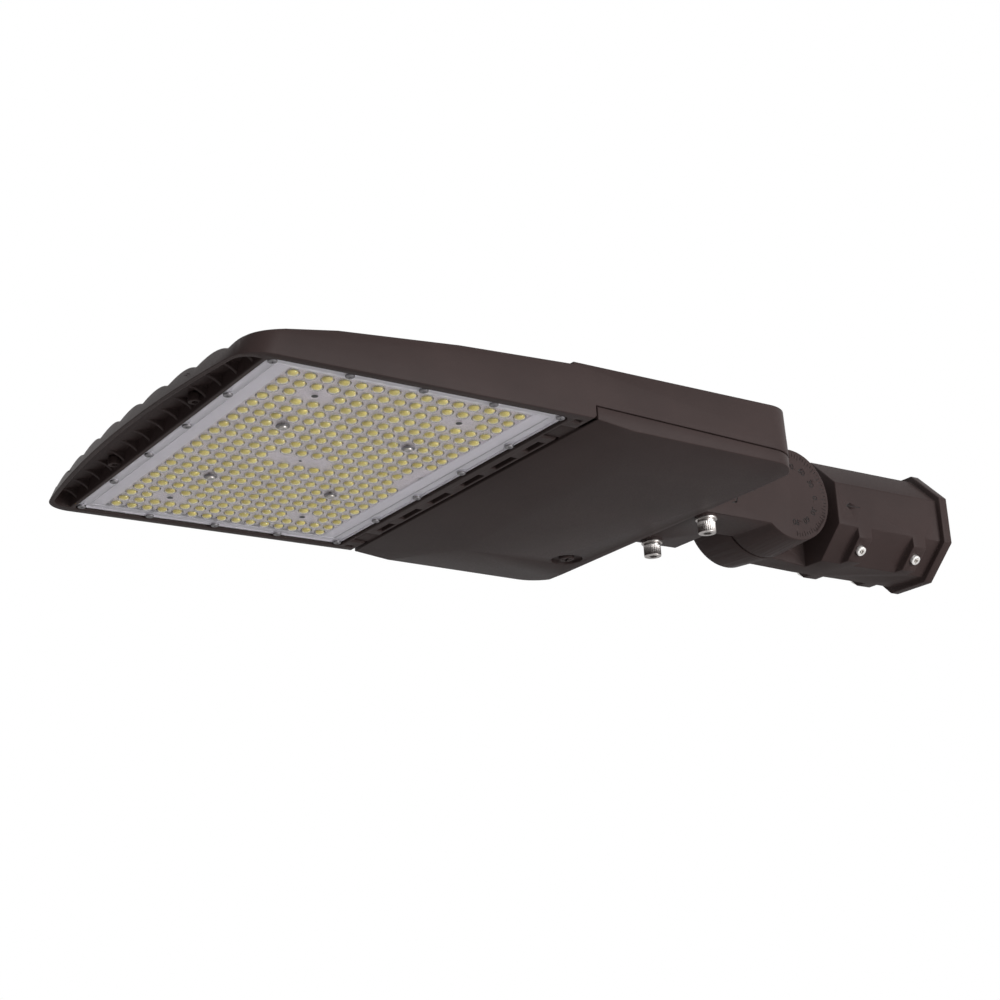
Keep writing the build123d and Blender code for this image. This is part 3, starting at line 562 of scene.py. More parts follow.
class Edit:
    """Edit mode on one piece, with points, edges and faces picked in code."""

    def __init__(self, piece: bpy.types.Object) -> None:
        """Takes the piece to be shaped."""
        self.piece = piece

    def __enter__(self) -> "Edit":
        """Opens edit mode."""
        Bench.hold(self.piece)
        bpy.ops.object.mode_set(mode="EDIT")
        return self

    def __exit__(self, *problem: object) -> None:
        """Closes edit mode."""
        bpy.ops.object.mode_set(mode="OBJECT")

    def pick(self, part: Part, test: Callable[[object], bool]) -> int:
        """Selects the points, edges or faces that pass a test.

        Args:
            part: What is picked.
            test: Takes a point, edge or face of the mesh.

        Returns:
            How many were picked.
        """
        bpy.ops.mesh.select_mode(type=part.value)
        bpy.ops.mesh.select_all(action="DESELECT")
        mesh = bmesh.from_edit_mesh(self.piece.data)
        items = {Part.POINTS: mesh.verts, Part.EDGES: mesh.edges, Part.FACES: mesh.faces}[part]
        chosen = [item for item in items if test(item)]
        for item in chosen:
            item.select_set(True)
        mesh.select_flush_mode()
        bmesh.update_edit_mesh(self.piece.data)
        return len(chosen)

    def move(self, place: Callable[[Vector], Vector]) -> None:
        """Moves the selected points.

        Args:
            place: The rule that gives a point's new place.
        """
        mesh = bmesh.from_edit_mesh(self.piece.data)
        for point in mesh.verts:
            if point.select:
                point.co = place(point.co)
        bmesh.update_edit_mesh(self.piece.data)

    def rim(self) -> int:
        """Picks the open edges."""
        return self.pick(Part.EDGES, lambda edge: len(edge.link_faces) == 1)

    def outwards(self) -> None:
        """Merges doubled points and turns all faces outwards."""
        bpy.ops.mesh.select_all(action="SELECT")
        bpy.ops.mesh.remove_doubles(threshold=2e-6)
        bpy.ops.mesh.normals_make_consistent(inside=False)


def middle(edge: bmesh.types.BMEdge) -> Vector:
    """Returns an edge's middle."""
    return (edge.verts[0].co + edge.verts[1].co) / 2


def finish_piece(
    piece: bpy.types.Object, material: bpy.types.Material, nodes: Sequence[str]
) -> bpy.types.Object:
    """Gives a piece its material, its body and the nodes it stands for.

    Args:
        piece: The finished piece.
        material: Its material where it has none of its own.
        nodes: The nodes it replaces, which say its body.

    Returns:
        The piece.
    """
    if not piece.data.materials:
        piece.data.materials.append(material)
    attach(piece, BODY_OF[nodes[0]])
    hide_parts(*nodes)
    log.info("%s: %d faces for %s", piece.name, len(piece.data.polygons), ", ".join(nodes))
    return piece


def add_piece(piece: bpy.types.Object, beside: str) -> None:
    """Gives a piece that replaces no node the body of its neighbour.

    Args:
        piece: The finished piece, with its materials.
        beside: The node whose body it rides.
    """
    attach(piece, BODY_OF[beside])
    log.info("%s: %d faces beside %s", piece.name, len(piece.data.polygons), beside)


# Castings


@dataclass
class Casting:
    """A cast or moulded piece: the node's own shape with its sharp edges eased."""

    name: str
    node: str
    edge: float = 0.5 * MM
    segments: int = 2
    sharp: float = 28.0
    keep_sharp: Callable[[Vector], bool] = lambda spot: False

    def build(self) -> bpy.types.Object:
        """Copies the node's shape and eases its sharp edges.

        Returns:
            The new piece.
        """
        source = frame["nodes"][self.node]
        piece = bpy.data.objects.new(self.name, source.data.copy())
        piece.data.materials.clear()
        bpy.context.scene.collection.objects.link(piece)
        with Edit(piece):
            bpy.ops.mesh.select_all(action="SELECT")
            bpy.ops.mesh.remove_doubles(threshold=2e-6)
            bpy.ops.mesh.dissolve_limited(angle_limit=math.radians(0.6))
        self.mark(piece)
        Bench.apply(
            piece,
            "BEVEL",
            width=self.edge,
            segments=self.segments,
            limit_method="WEIGHT",
            use_clamp_overlap=False,
        )
        Bench.smooth(piece)
        return piece

    def mark(self, piece: bpy.types.Object) -> None:
        """Marks the sharp edges that are to be eased.

        Args:
            piece: The merged copy of the node.
        """
        mesh = bmesh.new()
        mesh.from_mesh(piece.data)
        weight = mesh.edges.layers.float.new("bevel_weight_edge")
        for edge in mesh.edges:
            if len(edge.link_faces) != 2 or self.keep_sharp(middle(edge)):
                continue
            if edge.calc_face_angle(0.0) > math.radians(self.sharp):
                edge[weight] = 1.0
        mesh.to_mesh(piece.data)
        mesh.free()


@dataclass
class HeadHousing:
    """The lamp head's casting and its driver door."""

    finishes: Finishes
    recess_x: tuple[float, float] = (-660.0 * MM, -451.0 * MM)
    recess_z: tuple[float, float] = (-24.0 * MM, -12.0 * MM)
    door_edge: float = 0.6 * MM

    def build(self) -> None:
        """Builds and dresses both castings."""
        housing = Casting("head_casting", "main_housing", keep_sharp=self.fine_places).build()
        finish_piece(housing, self.finishes.paint, ["main_housing"])
        door = Casting("door_tray", "driver_door", edge=self.door_edge).build()
        finish_piece(door, self.finishes.paint, ["driver_door"])

    def fine_places(self, spot: Vector) -> bool:
        """Says whether an edge lies round the optics, where it stays sharp.

        Args:
            spot: The edge's middle.

        Returns:
            Whether it stays sharp.
        """
        inside_x = self.recess_x[0] < spot.x < self.recess_x[1]
        return inside_x and self.recess_z[0] < spot.z < self.recess_z[1]


@dataclass
class ScaleMarks:
    """Engraved tilt scale and index marks of the arm, and the sleeve's arrow, their cuts in near-black
    paint as painted shade.
    """

    # Near-black material that paints shade into the cuts.
    shade: bpy.types.Material
    pivot: Point = (-165.0 * MM, 0.0, 0.0)
    face_y: float = -41.0 * MM
    digit_radius: float = 22.0 * MM
    digit_size: float = 6.6 * MM
    digit_weight: float = 0.06 * MM
    tick_inner: float = 29.0 * MM
    tick_outer: float = 33.2 * MM
    tick_width: float = 0.45 * MM
    tick_step: int = 5
    long_tick_step: int = 15
    long_tick_extra: float = 1.4 * MM
    depth: float = 0.45 * MM
    angles: tuple[int, ...] = (-90, -60, -30, 0, 30, 60, 90)
    arrow_tip: Point = (-109.5 * MM, -40.5 * MM, -1.0 * MM)
    arrow_runs: tuple[Point, ...] = (
        (15.0 * MM, 0.0, 0.0),
        (4.4 * MM, 0.0, 2.6 * MM),
        (4.4 * MM, 0.0, -2.6 * MM),
    )
    arrow_width: float = 0.5 * MM
    index_marks: tuple[tuple[tuple[float, float], tuple[float, float], float], ...] = (
        ((-207.5, -3.0), (-203.5, -1.4), 2.2),
        ((-203.5, -1.0), (-197.0, 1.0), 0.7),
        ((-227.0, -15.6), (-222.6, -14.4), 1.0),
        ((-223.2, -15.0), (-222.0, -10.4), 1.3),
    )

    def near(self, x: float, z: float) -> Vector:
        """Returns a spot on the arm's near face, given in millimetres."""
        return Vector((x * MM, self.face_y, z * MM))

    def on_face(self, angle: float, radius: float) -> Vector:
        """Finds a spot on the near hub face.

        Args:
            angle: Its angle above +X, in degrees.
            radius: Its distance from the pivot.

        Returns:
            The spot.
        """
        way = math.radians(angle)
        x, _, z = self.pivot
        return Vector((x + radius * math.cos(way), self.face_y, z + radius * math.sin(way)))

    def digits(self, angle: int) -> bpy.types.Object:
        """Cuts out the number at one angle, its top outwards.

        Args:
            angle: The angle above +X, in degrees.

        Returns:
            The number as a cutter.
        """
        Bench.hold()
        bpy.ops.object.text_add()
        text = bpy.context.view_layer.objects.active
        text.data.body = str(abs(angle))
        text.data.size = self.digit_size
        text.data.align_x = "CENTER"
        text.data.align_y = "CENTER"
        text.data.extrude = self.depth
        text.data.offset = self.digit_weight
        bpy.ops.object.convert(target="MESH")
        piece = Bench.named(f"digits_{angle}")
        stand = Matrix.Rotation(math.radians(90), 4, "X")
        lean = Matrix.Rotation(math.radians(90 - angle), 4, "Y")
        piece.matrix_world = (
            Matrix.Translation(self.on_face(angle, self.digit_radius)) @ lean @ stand
        )
        Bench.settle(piece)
        return piece

    def bar(self, start: Vector, end: Vector, width: float) -> bpy.types.Object:
        """Cuts out one stroke on a near face.

        Args:
            start: Where it starts.
            end: Where it ends.
            width: Its width.

        Returns:
            The stroke as a cutter.
        """
        run = end - start
        low = Vector((0, -self.depth, -width / 2))
        high = Vector((run.length, self.depth, width / 2))
        piece = Bench.box("stroke", low, high)
        piece.matrix_world = Matrix.Translation(start) @ Matrix.Rotation(
            -math.atan2(run.z, run.x), 4, "Y"
        )
        Bench.settle(piece)
        return piece

    def arm_cutter(self) -> bpy.types.Object:
        """Joins the scale, its ticks and the two index marks.

        Returns:
            The arm's cutter.
        """
        cutters = [self.digits(angle) for angle in self.angles]
        for angle in range(self.angles[0], self.angles[-1] + 1, self.tick_step):
            short = angle % self.long_tick_step != 0
            inner = self.on_face(angle, self.tick_inner + short * self.long_tick_extra)
            outer = self.on_face(angle, self.tick_outer)
            cutters.append(self.bar(inner, outer, self.tick_width))
        for start, end, width in self.index_marks:
            cutters.append(self.bar(self.near(*start), self.near(*end), width * MM))
        return self.shaded(Bench.join("scale_cutter", cutters))

    def sleeve_cutter(self) -> bpy.types.Object:
        """Draws the arrow on the sleeve's near side.

        Returns:
            The sleeve's cutter.
        """
        tip = Vector(self.arrow_tip)
        cutters = [self.bar(tip, tip + Vector(run), self.arrow_width) for run in self.arrow_runs]
        return self.shaded(Bench.join("arrow_cutter", cutters))

    def shaded(self, cutter: bpy.types.Object) -> bpy.types.Object:
        """Gives a cutter the near-black material that its cuts take on, as painted shade in the
        recesses.

        Args:
            cutter: The cutter.

        Returns:
            The same cutter.
        """
        cutter.data.materials.clear()
        cutter.data.materials.append(self.shade)
        return cutter


@dataclass
class TiltKnuckle:
    """Slip fitter sleeve and knuckle arm with the engraved tilt scale."""

    finishes: Finishes
    pivot_x: float = -165.0 * MM
    edge: float = 0.7 * MM
    teeth_radius: float = 36.0 * MM
    teeth_reach: float = 3.2 * MM

    def build(self) -> None:
        """Builds and dresses the sleeve and the arm."""
        # The marks' cuts take near-black paint: painted shade in the recesses.
        marks = ScaleMarks(self.finishes.engraved)
        for name, node, cutter in (
            ("sleeve_casting", "slip_fitter_sleeve", marks.sleeve_cutter),
            ("arm_casting", "knuckle_arm", marks.arm_cutter),
        ):
            piece = Casting(name, node, edge=self.edge, keep_sharp=self.at_teeth).build()
            piece.data.materials.append(self.finishes.paint)
            Bench.carve(piece, cutter())
            Bench.smooth(piece)
            finish_piece(piece, self.finishes.paint, [node])

    def at_teeth(self, spot: Vector) -> bool:
        """Says whether an edge lies at the clamping teeth, where it stays sharp.

        Args:
            spot: The edge's middle.

        Returns:
            Whether it stays sharp.
        """
        from_pivot = math.hypot(spot.x - self.pivot_x, spot.z)
        return from_pivot < self.teeth_radius and abs(spot.y) < self.teeth_reach


# Optics


@dataclass
class LensCover:
    """Moulded cover with a lens over each LED, a railed border and screw bosses.

    A profile holds radii and depths under the cover's face, in millimetres. The border's
    profile holds insets from its outline and heights.
    """

    finishes: Finishes
    columns: int = 15
    rows: int = 21
    pitch: tuple[float, float] = (11.25 * MM, 13.0 * MM)
    first: tuple[float, float] = (-635.0 * MM, -130.0 * MM)
    face: float = -22.6 * MM
    cup_sides: int = 12
    crown: float = 0.07 * MM
    flat_radius: float = 5.2
    dome: Profile = ((1.5, 1.93), (2.9, 1.55), (3.9, 0.85), (4.4, 0.0))
    hollow: Profile = ((1.2, 1.4), (2.4, 1.05), (3.2, 0.5), (3.5, -0.1), (3.6, -2.0))
    phosphor: Profile = ((1.2, 1.25), (2.3, 0.9), (3.05, 0.35), (3.3, -0.2), (3.3, -2.4))
    outline: tuple[float, float, float] = (-658.0 * MM, -452.5 * MM, 146.5 * MM)
    border: Profile = (
        (9.0, -22.6),
        (8.6, -23.05),
        (7.6, -23.05),
        (7.2, -22.7),
        (2.3, -22.7),
        (2.0, -23.35),
        (0.6, -23.35),
        (0.0, -22.9),
        (0.0, -20.6),
    )
    corner: float = 1.2 * MM
    slack: float = 0.2 * MM
    screw_inset: float = 3.4 * MM
    screws: tuple[int, int] = (5, 6)
    boss_level: float = -22.65 * MM
    boss_radius: float = 3.0 * MM
    boss_height: float = 0.75 * MM
    boss_wall: float = 0.5 * MM
    boss_dish: float = 0.2 * MM
    gusset_half: float = 0.4 * MM
    gusset_run: tuple[float, float] = (2.9 * MM, 7.5 * MM)
    gusset_height: float = 0.7 * MM
    gusset_fall: float = 0.6 * MM
    package_half: float = 2.7 * MM
    package_z: tuple[float, float] = (-20.2 * MM, -19.5 * MM)
    package_corner: float = 0.5 * MM
    hole_height: float = 0.12 * MM
    hole_depth: float = 0.3 * MM
    hole_rim: float = 0.3 * MM
    hole_dish: float = 0.1 * MM
    holes: tuple[tuple[float, int, float], ...] = (
        (2.5, 2, 2.1 * MM),
        (2.5, 18, 2.1 * MM),
        (11.5, 2, 2.1 * MM),
        (11.5, 18, 2.1 * MM),
        (6.5, 10, 1.1 * MM),
    )

    def blank(self, column: int, row: int) -> bool:
        """Says whether a place in the grid has no LED.

        Args:
            column: Its column, counted from the nose.
            row: Its row, counted from the near side.

        Returns:
            Whether it is blank.
        """
        centre = self.rows // 2
        if row in (2, self.rows - 3):
            return column in (2, 3, self.columns - 4, self.columns - 3)
        if row in (6, self.rows - 7):
            return column in (3, self.columns - 4)
        if row == centre:
            return column in (5, 6, 7, 8, self.columns - 1)
        return abs(row - centre) == 1 and column == self.columns - 1

    def place_of(self, spot: Vector) -> tuple[int, int]:
        """Returns the column and row of a spot."""
        x, y = self.first
        return round((spot.x - x) / self.pitch[0]), round((spot.y - y) / self.pitch[1])

    def spot_of(self, column: float, row: float, height: float = 0.0) -> Vector:
        """Returns the spot of a place in the grid."""
        x, y = self.first
        return Vector((x + column * self.pitch[0], y + row * self.pitch[1], height))

    def is_blank(self, spot: Vector) -> bool:
        """Says whether a spot lies in a blank place of the grid."""
        return self.blank(*self.place_of(spot))

    def spread(self, piece: bpy.types.Object) -> None:
        """Repeats the first place's piece over the whole grid.

        Args:
            piece: The piece.
        """
        offsets = ((self.columns, (self.pitch[0], 0, 0)), (self.rows, (0, self.pitch[1], 0)))
        for count, offset in offsets:
            Bench.apply(
                piece,
                "ARRAY",
                count=count,
                use_relative_offset=False,
                use_constant_offset=True,
                constant_offset_displace=offset,
                use_merge_vertices=True,
                merge_threshold=NEAR,
            )

    def cell_edge(self, spot: Vector) -> Vector:
        """Puts a point of the outermost ring on the cell's rectangle.

        Args:
            spot: The point, on the ring round the first place.

        Returns:
            Its place at a corner or at a third of a side.
        """
        x, y = spot.x - self.first[0], spot.y - self.first[1]
        half = (self.pitch[0] / 2, self.pitch[1] / 2)
        share = 1.0 if abs(abs(x) - abs(y)) < self.slack else 1 / 3
        across = (half[0], half[1] * share) if abs(x) > abs(y) else (half[0] * share, half[1])
        return Vector(
            (
                self.first[0] + math.copysign(across[0], x),
                self.first[1] + math.copysign(across[1], y),
                spot.z,
            )
        )

    def cup(self, name: str, profile: Profile) -> bpy.types.Object:
        """Models one round skin at the grid's first place, open at its upper end.

        Args:
            name: Its name.
            profile: Radius and depth under the cover's face, in millimetres, crown first.

        Returns:
            The skin.
        """
        radius, depth = profile[0]
        centre = Vector((*self.first, self.face - depth * MM))
        Bench.hold()
        bpy.ops.mesh.primitive_circle_add(
            vertices=self.cup_sides,
            radius=radius * MM,
            fill_type="NGON",
            location=centre,
            rotation=(0, 0, math.pi / self.cup_sides),
        )
        piece = Bench.named(name)
        Bench.settle(piece)
        with Edit(piece) as edit:
            edit.pick(Part.FACES, lambda face: True)
            bpy.ops.mesh.poke(offset=-self.crown)
            for next_radius, next_depth in profile[1:]:
                edit.rim()
                bpy.ops.mesh.extrude_edges_move()
                ratio = next_radius / radius
                bpy.ops.transform.resize(value=(ratio, ratio, 1), center_override=centre)
                bpy.ops.transform.translate(value=(0, 0, (depth - next_depth) * MM))
                radius, depth = next_radius, next_depth
        return piece

    def field(self, name: str, profile: Profile) -> bpy.types.Object:
        """Models the whole grid's skin, flat at its blank places.

        Args:
            name: Its name.
            profile: The skin's profile at each LED.

        Returns:
            The skin, open along its rectangular rim.
        """
        flat = self.face - profile[-1][1] * MM
        piece = self.cup(name, (*profile, (self.flat_radius, profile[-1][1])))
        with Edit(piece) as edit:
            edit.rim()
            edit.move(self.cell_edge)
        self.spread(piece)
        with Edit(piece) as edit:
            edit.pick(
                Part.POINTS, lambda point: point.co.z < flat - NEAR and self.is_blank(point.co)
            )
            bpy.ops.transform.resize(value=(1, 1, 0), center_override=(0, 0, flat))
        return piece

    def frame_border(self, piece: bpy.types.Object) -> None:
        """Draws the border, the wall and the upper margin out of the field's rim.

        Args:
            piece: The field's skin.
        """
        low = Vector(self.first) - Vector(self.pitch) / 2
        x0, x1, half = low.x, low.x + self.columns * self.pitch[0], -low.y
        level = self.face
        with Edit(piece) as edit:
            for inset, height in self.border:
                new_x0 = self.outline[0] + inset * MM
                new_x1 = self.outline[1] - inset * MM
                new_half = self.outline[2] - inset * MM
                edit.rim()
                bpy.ops.mesh.extrude_edges_move()
                bpy.ops.transform.resize(
                    value=((new_x1 - new_x0) / (x1 - x0), new_half / half, 1),
                    center_override=((x0 + x1) / 2, 0, 0),
                )
                shift = (new_x0 + new_x1 - x0 - x1) / 2
                bpy.ops.transform.translate(value=(shift, 0, height * MM - level))
                x0, x1, half, level = new_x0, new_x1, new_half, height * MM
                if inset < 1.0:
                    edit.rim()
                    edit.move(lambda spot: self.round_corner(spot, x0, x1, half))
            edit.rim()
            bpy.ops.mesh.extrude_edges_move()
            edit.move(self.on_field_rim)

    def on_field_rim(self, spot: Vector) -> Vector:
        """Finds the point of the field's rim that belongs to a point of the outline.

        Args:
            spot: The point on the outline.

        Returns:
            The point on the rim.
        """
        low = Vector(self.first) - Vector(self.pitch) / 2
        steps_x, steps_y = 3 * self.columns, 3 * self.rows
        x0, x1, half = self.outline
        across = round((spot.x - x0) / (x1 - x0) * steps_x)
        along = round((spot.y + half) / (2 * half) * steps_y)
        return Vector((low.x + across * self.pitch[0] / 3, low.y + along * self.pitch[1] / 3, spot.z))

    def round_corner(self, spot: Vector, x0: float, x1: float, half: float) -> Vector:
        """Draws a point in where it lies at one of the cover's corners.

        Args:
            spot: The point.
            x0: The ring's end at the nose.
            x1: The ring's end at the door.
            half: Half of the ring's width.

        Returns:
            The point's new place.
        """
        at_end = min(abs(spot.x - x0), abs(spot.x - x1)) < self.slack
        if not at_end or half - abs(spot.y) > self.slack:
            return spot
        inwards = math.copysign(self.corner, (x0 + x1) / 2 - spot.x)
        return Vector((spot.x + inwards, spot.y - math.copysign(self.corner, spot.y), spot.z))

    def screw_spots(self) -> list[Vector]:
        """Finds where the border's screws go.

        Returns:
            Their plan spots.
        """
        x0, x1, half = self.outline
        across = (x1 - x0 - 2 * self.screw_inset) / (self.screws[0] - 1)
        along = 2 * (half - self.screw_inset) / (self.screws[1] - 1)
        return [
            Vector((x0 + self.screw_inset + i * across, self.screw_inset - half + j * along, 0))
            for i in range(self.screws[0])
            for j in range(self.screws[1])
            if i in (0, self.screws[0] - 1) or j in (0, self.screws[1] - 1)
        ]

    def field_spots(self) -> list[Vector]:
        """Returns the plan spots of the four screws within the field."""
        columns, rows = (3, self.columns - 4), (6, self.rows - 7)
        return [self.spot_of(column, row) for column in columns for row in rows]

    def bosses(self) -> bpy.types.Object:
        """Models a raised ring with its gussets and copies it to the border's screws.

        Returns:
            All bosses as one piece.
        """
        boss = Bench.cylinder("boss", self.boss_radius, 0, self.boss_height, 24)
        with Edit(boss) as edit:
            edit.pick(Part.FACES, lambda face: face.normal.z > 0.9)
            bpy.ops.mesh.inset(thickness=self.boss_wall)
            bpy.ops.transform.translate(value=(0, 0, -self.boss_dish))
        near_end, far_end = self.gusset_run
        gussets = []
        for side in (-1, 1):
            low = (-self.gusset_half, side * near_end, 0)
            high = (self.gusset_half, side * far_end, self.gusset_height)
            gusset = Bench.box("gusset", low, high)
            with Edit(gusset) as edit:
                edit.outwards()
                edit.pick(
                    Part.POINTS,
                    lambda point: abs(point.co.y) > far_end - NEAR and point.co.z > NEAR,
                )
                bpy.ops.transform.translate(value=(0, 0, -self.gusset_fall))
            gussets.append(gusset)
        boss = Bench.join("boss", [boss, *gussets])
        copies = []
        for spot in self.screw_spots():
            twin = Bench.copy(boss, "boss_copy")
            from_end = min(abs(spot.x - self.outline[0]), abs(spot.x - self.outline[1]))
            seat = Vector((spot.x, spot.y, self.boss_level))
            Bench.set_at(twin, seat, DOWN, 0.0 if from_end < 2 * self.screw_inset else 90.0)
            copies.append(twin)
        bpy.data.objects.remove(boss, do_unlink=True)
        return Bench.join("lens_screw_bosses", copies)

    def packages(self) -> bpy.types.Object:
        """Models an LED's square base and phosphor dome and repeats them over the grid.

        Returns:
            All packages as one piece.
        """
        x, y = self.first
        half = self.package_half
        low, high = self.package_z
        base = Bench.box("package_base", (x - half, y - half, low), (x + half, y + half, high))
        base.data.materials.append(self.finishes.package)
        with Edit(base) as edit:
            edit.pick(Part.EDGES, lambda edge: abs(edge.verts[0].co.z - edge.verts[1].co.z) > NEAR)
            bpy.ops.mesh.bevel(offset=self.package_corner, segments=2)
        dome = self.cup("phosphor_dome", self.phosphor)
        dome.data.materials.append(self.finishes.phosphor)
        with Edit(dome) as edit:
            edit.rim()
            bpy.ops.mesh.edge_face_add()
            edit.outwards()
        piece = Bench.join("led_packages", [base, dome])
        self.spread(piece)
        with Edit(piece) as edit:
            edit.pick(Part.FACES, lambda face: self.is_blank(face.calc_center_median()))
            bpy.ops.mesh.delete(type="FACE")
        Bench.smooth(piece, 40)
        return piece

    def build(self) -> None:
        """Builds and dresses the cover, its bosses and the LED packages."""
        lower = self.field("lens_cover", self.dome)
        self.frame_border(lower)
        cover = Bench.join("lens_cover", [lower, self.field("lens_hollows", self.hollow)])
        with Edit(cover) as edit:
            edit.outwards()
        cover = Bench.join("lens_cover", [cover, self.bosses()])
        self.frost(cover)
        Bench.smooth(cover, 40)
        finish_piece(cover, self.finishes.clear, ["lens_plate"])
        add_piece(self.packages(), "led_board")
        self.cover_holes()

    def frost(self, cover: bpy.types.Object) -> None:
        """Gives the faces outside the field the frosted finish.

        Args:
            cover: The whole cover.
        """
        low = Vector(self.first) - Vector(self.pitch) / 2
        high_x = low.x + self.columns * self.pitch[0]
        cover.data.materials.append(self.finishes.clear)
        cover.data.materials.append(self.finishes.frosted)
        for face in cover.data.polygons:
            x, y, _ = face.center
            if not (low.x < x < high_x and abs(y) < -low.y):
                face.material_index = 1

    def cover_holes(self) -> None:
        """Adds near-black discs where the small holes between the lenses are: painted shade standing
        in for the holes.
        """
        pins = []
        for column, row, radius in self.holes:
            pin = Bench.cylinder("pin", radius, -self.hole_depth, self.hole_height, 20)
            with Edit(pin) as edit:
                edit.pick(Part.FACES, lambda face: face.normal.z > 0.9)
                bpy.ops.mesh.inset(thickness=self.hole_rim)
                bpy.ops.transform.translate(value=(0, 0, -self.hole_dish))
            Bench.set_at(pin, self.spot_of(column, row, self.face), DOWN)
            pins.append(pin)
        piece = Bench.join("cover_holes", pins)
        # Near-black: painted shade where the holes are.
        piece.data.materials.append(self.finishes.hole)
        add_piece(piece, "led_board")


# Fasteners


@dataclass
class ScrewHead:
    """A screw modelled on the Z axis, its seat at 0 and its head upwards."""

    radius: float
    height: float
    shank: float
    length: float
    recess: Recess = Recess.HEXAGON
    recess_size: float = 6.0 * MM
    recess_depth: float = 4.0 * MM
    knurls: int = 0
    knurl_margin: float = 0.5 * MM
    knurl_clear: float = 0.3 * MM
    knurl_depth: float = 0.93
    knurl_reach: float = 0.98
    rim: float = 0.5 * MM
    rim_segments: int = 2
    sides: int = 40

    def build(self, name: str) -> bpy.types.Object:
        """Returns the screw.

        Args:
            name: Its name.

        Returns:
            The screw on the Z axis.
        """
        sides = 2 * self.knurls if self.knurls else self.sides
        piece = Bench.cylinder(name, self.radius, 0, self.height, sides)
        with Edit(piece) as edit:
            edit.pick(
                Part.EDGES,
                lambda edge: all(point.co.z > self.height - NEAR for point in edge.verts),
            )
            bpy.ops.mesh.bevel(offset=self.rim, segments=self.rim_segments)
            if self.knurls:
                self.knurl(edit)
            edit.pick(Part.FACES, lambda face: face.normal.z < -0.9)
            bpy.ops.mesh.inset(thickness=self.radius - self.shank)
            bpy.ops.mesh.extrude_region_move(
                TRANSFORM_OT_translate={"value": (0, 0, -self.length)}
            )
        Bench.carve(piece, self.cutter())
        Bench.smooth(piece, 32)
        return piece

    def knurl(self, edit: Edit) -> None:
        """Presses flutes into the head's side.

        Args:
            edit: The open edit of the head.
        """
        edit.pick(
            Part.FACES,
            lambda face: abs(face.normal.z) < 0.1 and face.calc_center_median().xy.length > self.shank,
        )
        bpy.ops.mesh.inset(thickness=self.knurl_margin)
        edit.pick(Part.POINTS, self.in_flute)
        bpy.ops.transform.resize(
            value=(self.knurl_depth, self.knurl_depth, 1), center_override=(0, 0, 0)
        )

    def in_flute(self, point: bmesh.types.BMVert) -> bool:
        """Says whether a point of the head's side lies in a flute.

        Args:
            point: The point.

        Returns:
            Whether it is pressed in.
        """
        low, high = self.knurl_clear, self.height - self.rim - self.knurl_clear
        if not low < point.co.z < high or point.co.xy.length < self.knurl_reach * self.radius:
            return False
        return round(math.atan2(point.co.y, point.co.x) / math.pi * self.knurls) % 2 == 0

    def cutter(self) -> bpy.types.Object:
        """Models what cuts the drive recess.

        Returns:
            The cutter.
        """
        bottom, top = self.height - self.recess_depth, self.height + 1 * MM
        if self.recess is Recess.HEXAGON:
            return Bench.cylinder("recess", self.recess_size / math.sqrt(3), bottom, top, 6)
        wing = self.recess_size / 2
        slim = self.recess_size / 9
        cross = Bench.box("recess", (-wing, -slim, bottom), (wing, slim, top))
        other = Bench.box("recess", (-slim, -wing, bottom), (slim, wing, top))
        Bench.apply(cross, "BOOLEAN", object=other, operation="UNION", solver="EXACT")
        bpy.data.objects.remove(other, do_unlink=True)
        return cross


@dataclass
class Ring:
    """A washer on the Z axis, from 0 upwards, plain or split."""

    outer: float
    inner: float
    height: float
    split: bool = False
    gap: float = 1.0 * MM
    slant: float = 28.0
    edge: float = 0.18 * MM

    def build(self, name: str) -> bpy.types.Object:
        """Models the washer.

        Args:
            name: Its name.

        Returns:
            The washer on the Z axis.
        """
        piece = Bench.cylinder(name, self.outer, 0, self.height, 48)
        with Edit(piece) as edit:
            edit.pick(Part.FACES, lambda face: abs(face.normal.z) > 0.9)
            bpy.ops.mesh.inset(thickness=self.outer - self.inner)
            bpy.ops.mesh.bridge_edge_loops()
        if self.split:
            half = self.gap / 2
            low, high = (0, -half, -self.height), (self.outer + MM, half, 2 * self.height)
            gap = Bench.box("gap", low, high)
            gap.rotation_euler = (math.radians(self.slant), 0, 0)
            Bench.settle(gap)
            Bench.carve(piece, gap)
        Bench.apply(piece, "BEVEL", width=self.edge, segments=2, limit_method="ANGLE")
        Bench.smooth(piece, 32)
        return piece


@dataclass
class FastenerSet:
    """Equal fasteners that stand for one node."""

    name: str
    node: str
    master: ScrewHead | Ring
    seats: Sequence[Vector]
    axes: Sequence[Vector]
    slot: str = "steel"
    turn: float = 17.0

    def build(self, material: bpy.types.Material) -> None:
        """Models the fastener once and copies it to every seat.

        Args:
            material: Its finish.
        """
        master = self.master.build("master")
        copies = []
        for place, (seat, axis) in enumerate(zip(self.seats, self.axes)):
            twin = Bench.copy(master, f"{self.name}_{place}")
            Bench.set_at(twin, seat, axis, self.turn * (place + 1))
            copies.append(twin)
        bpy.data.objects.remove(master, do_unlink=True)
        piece = Bench.join(self.name, copies)
        finish_piece(piece, material, [self.node])


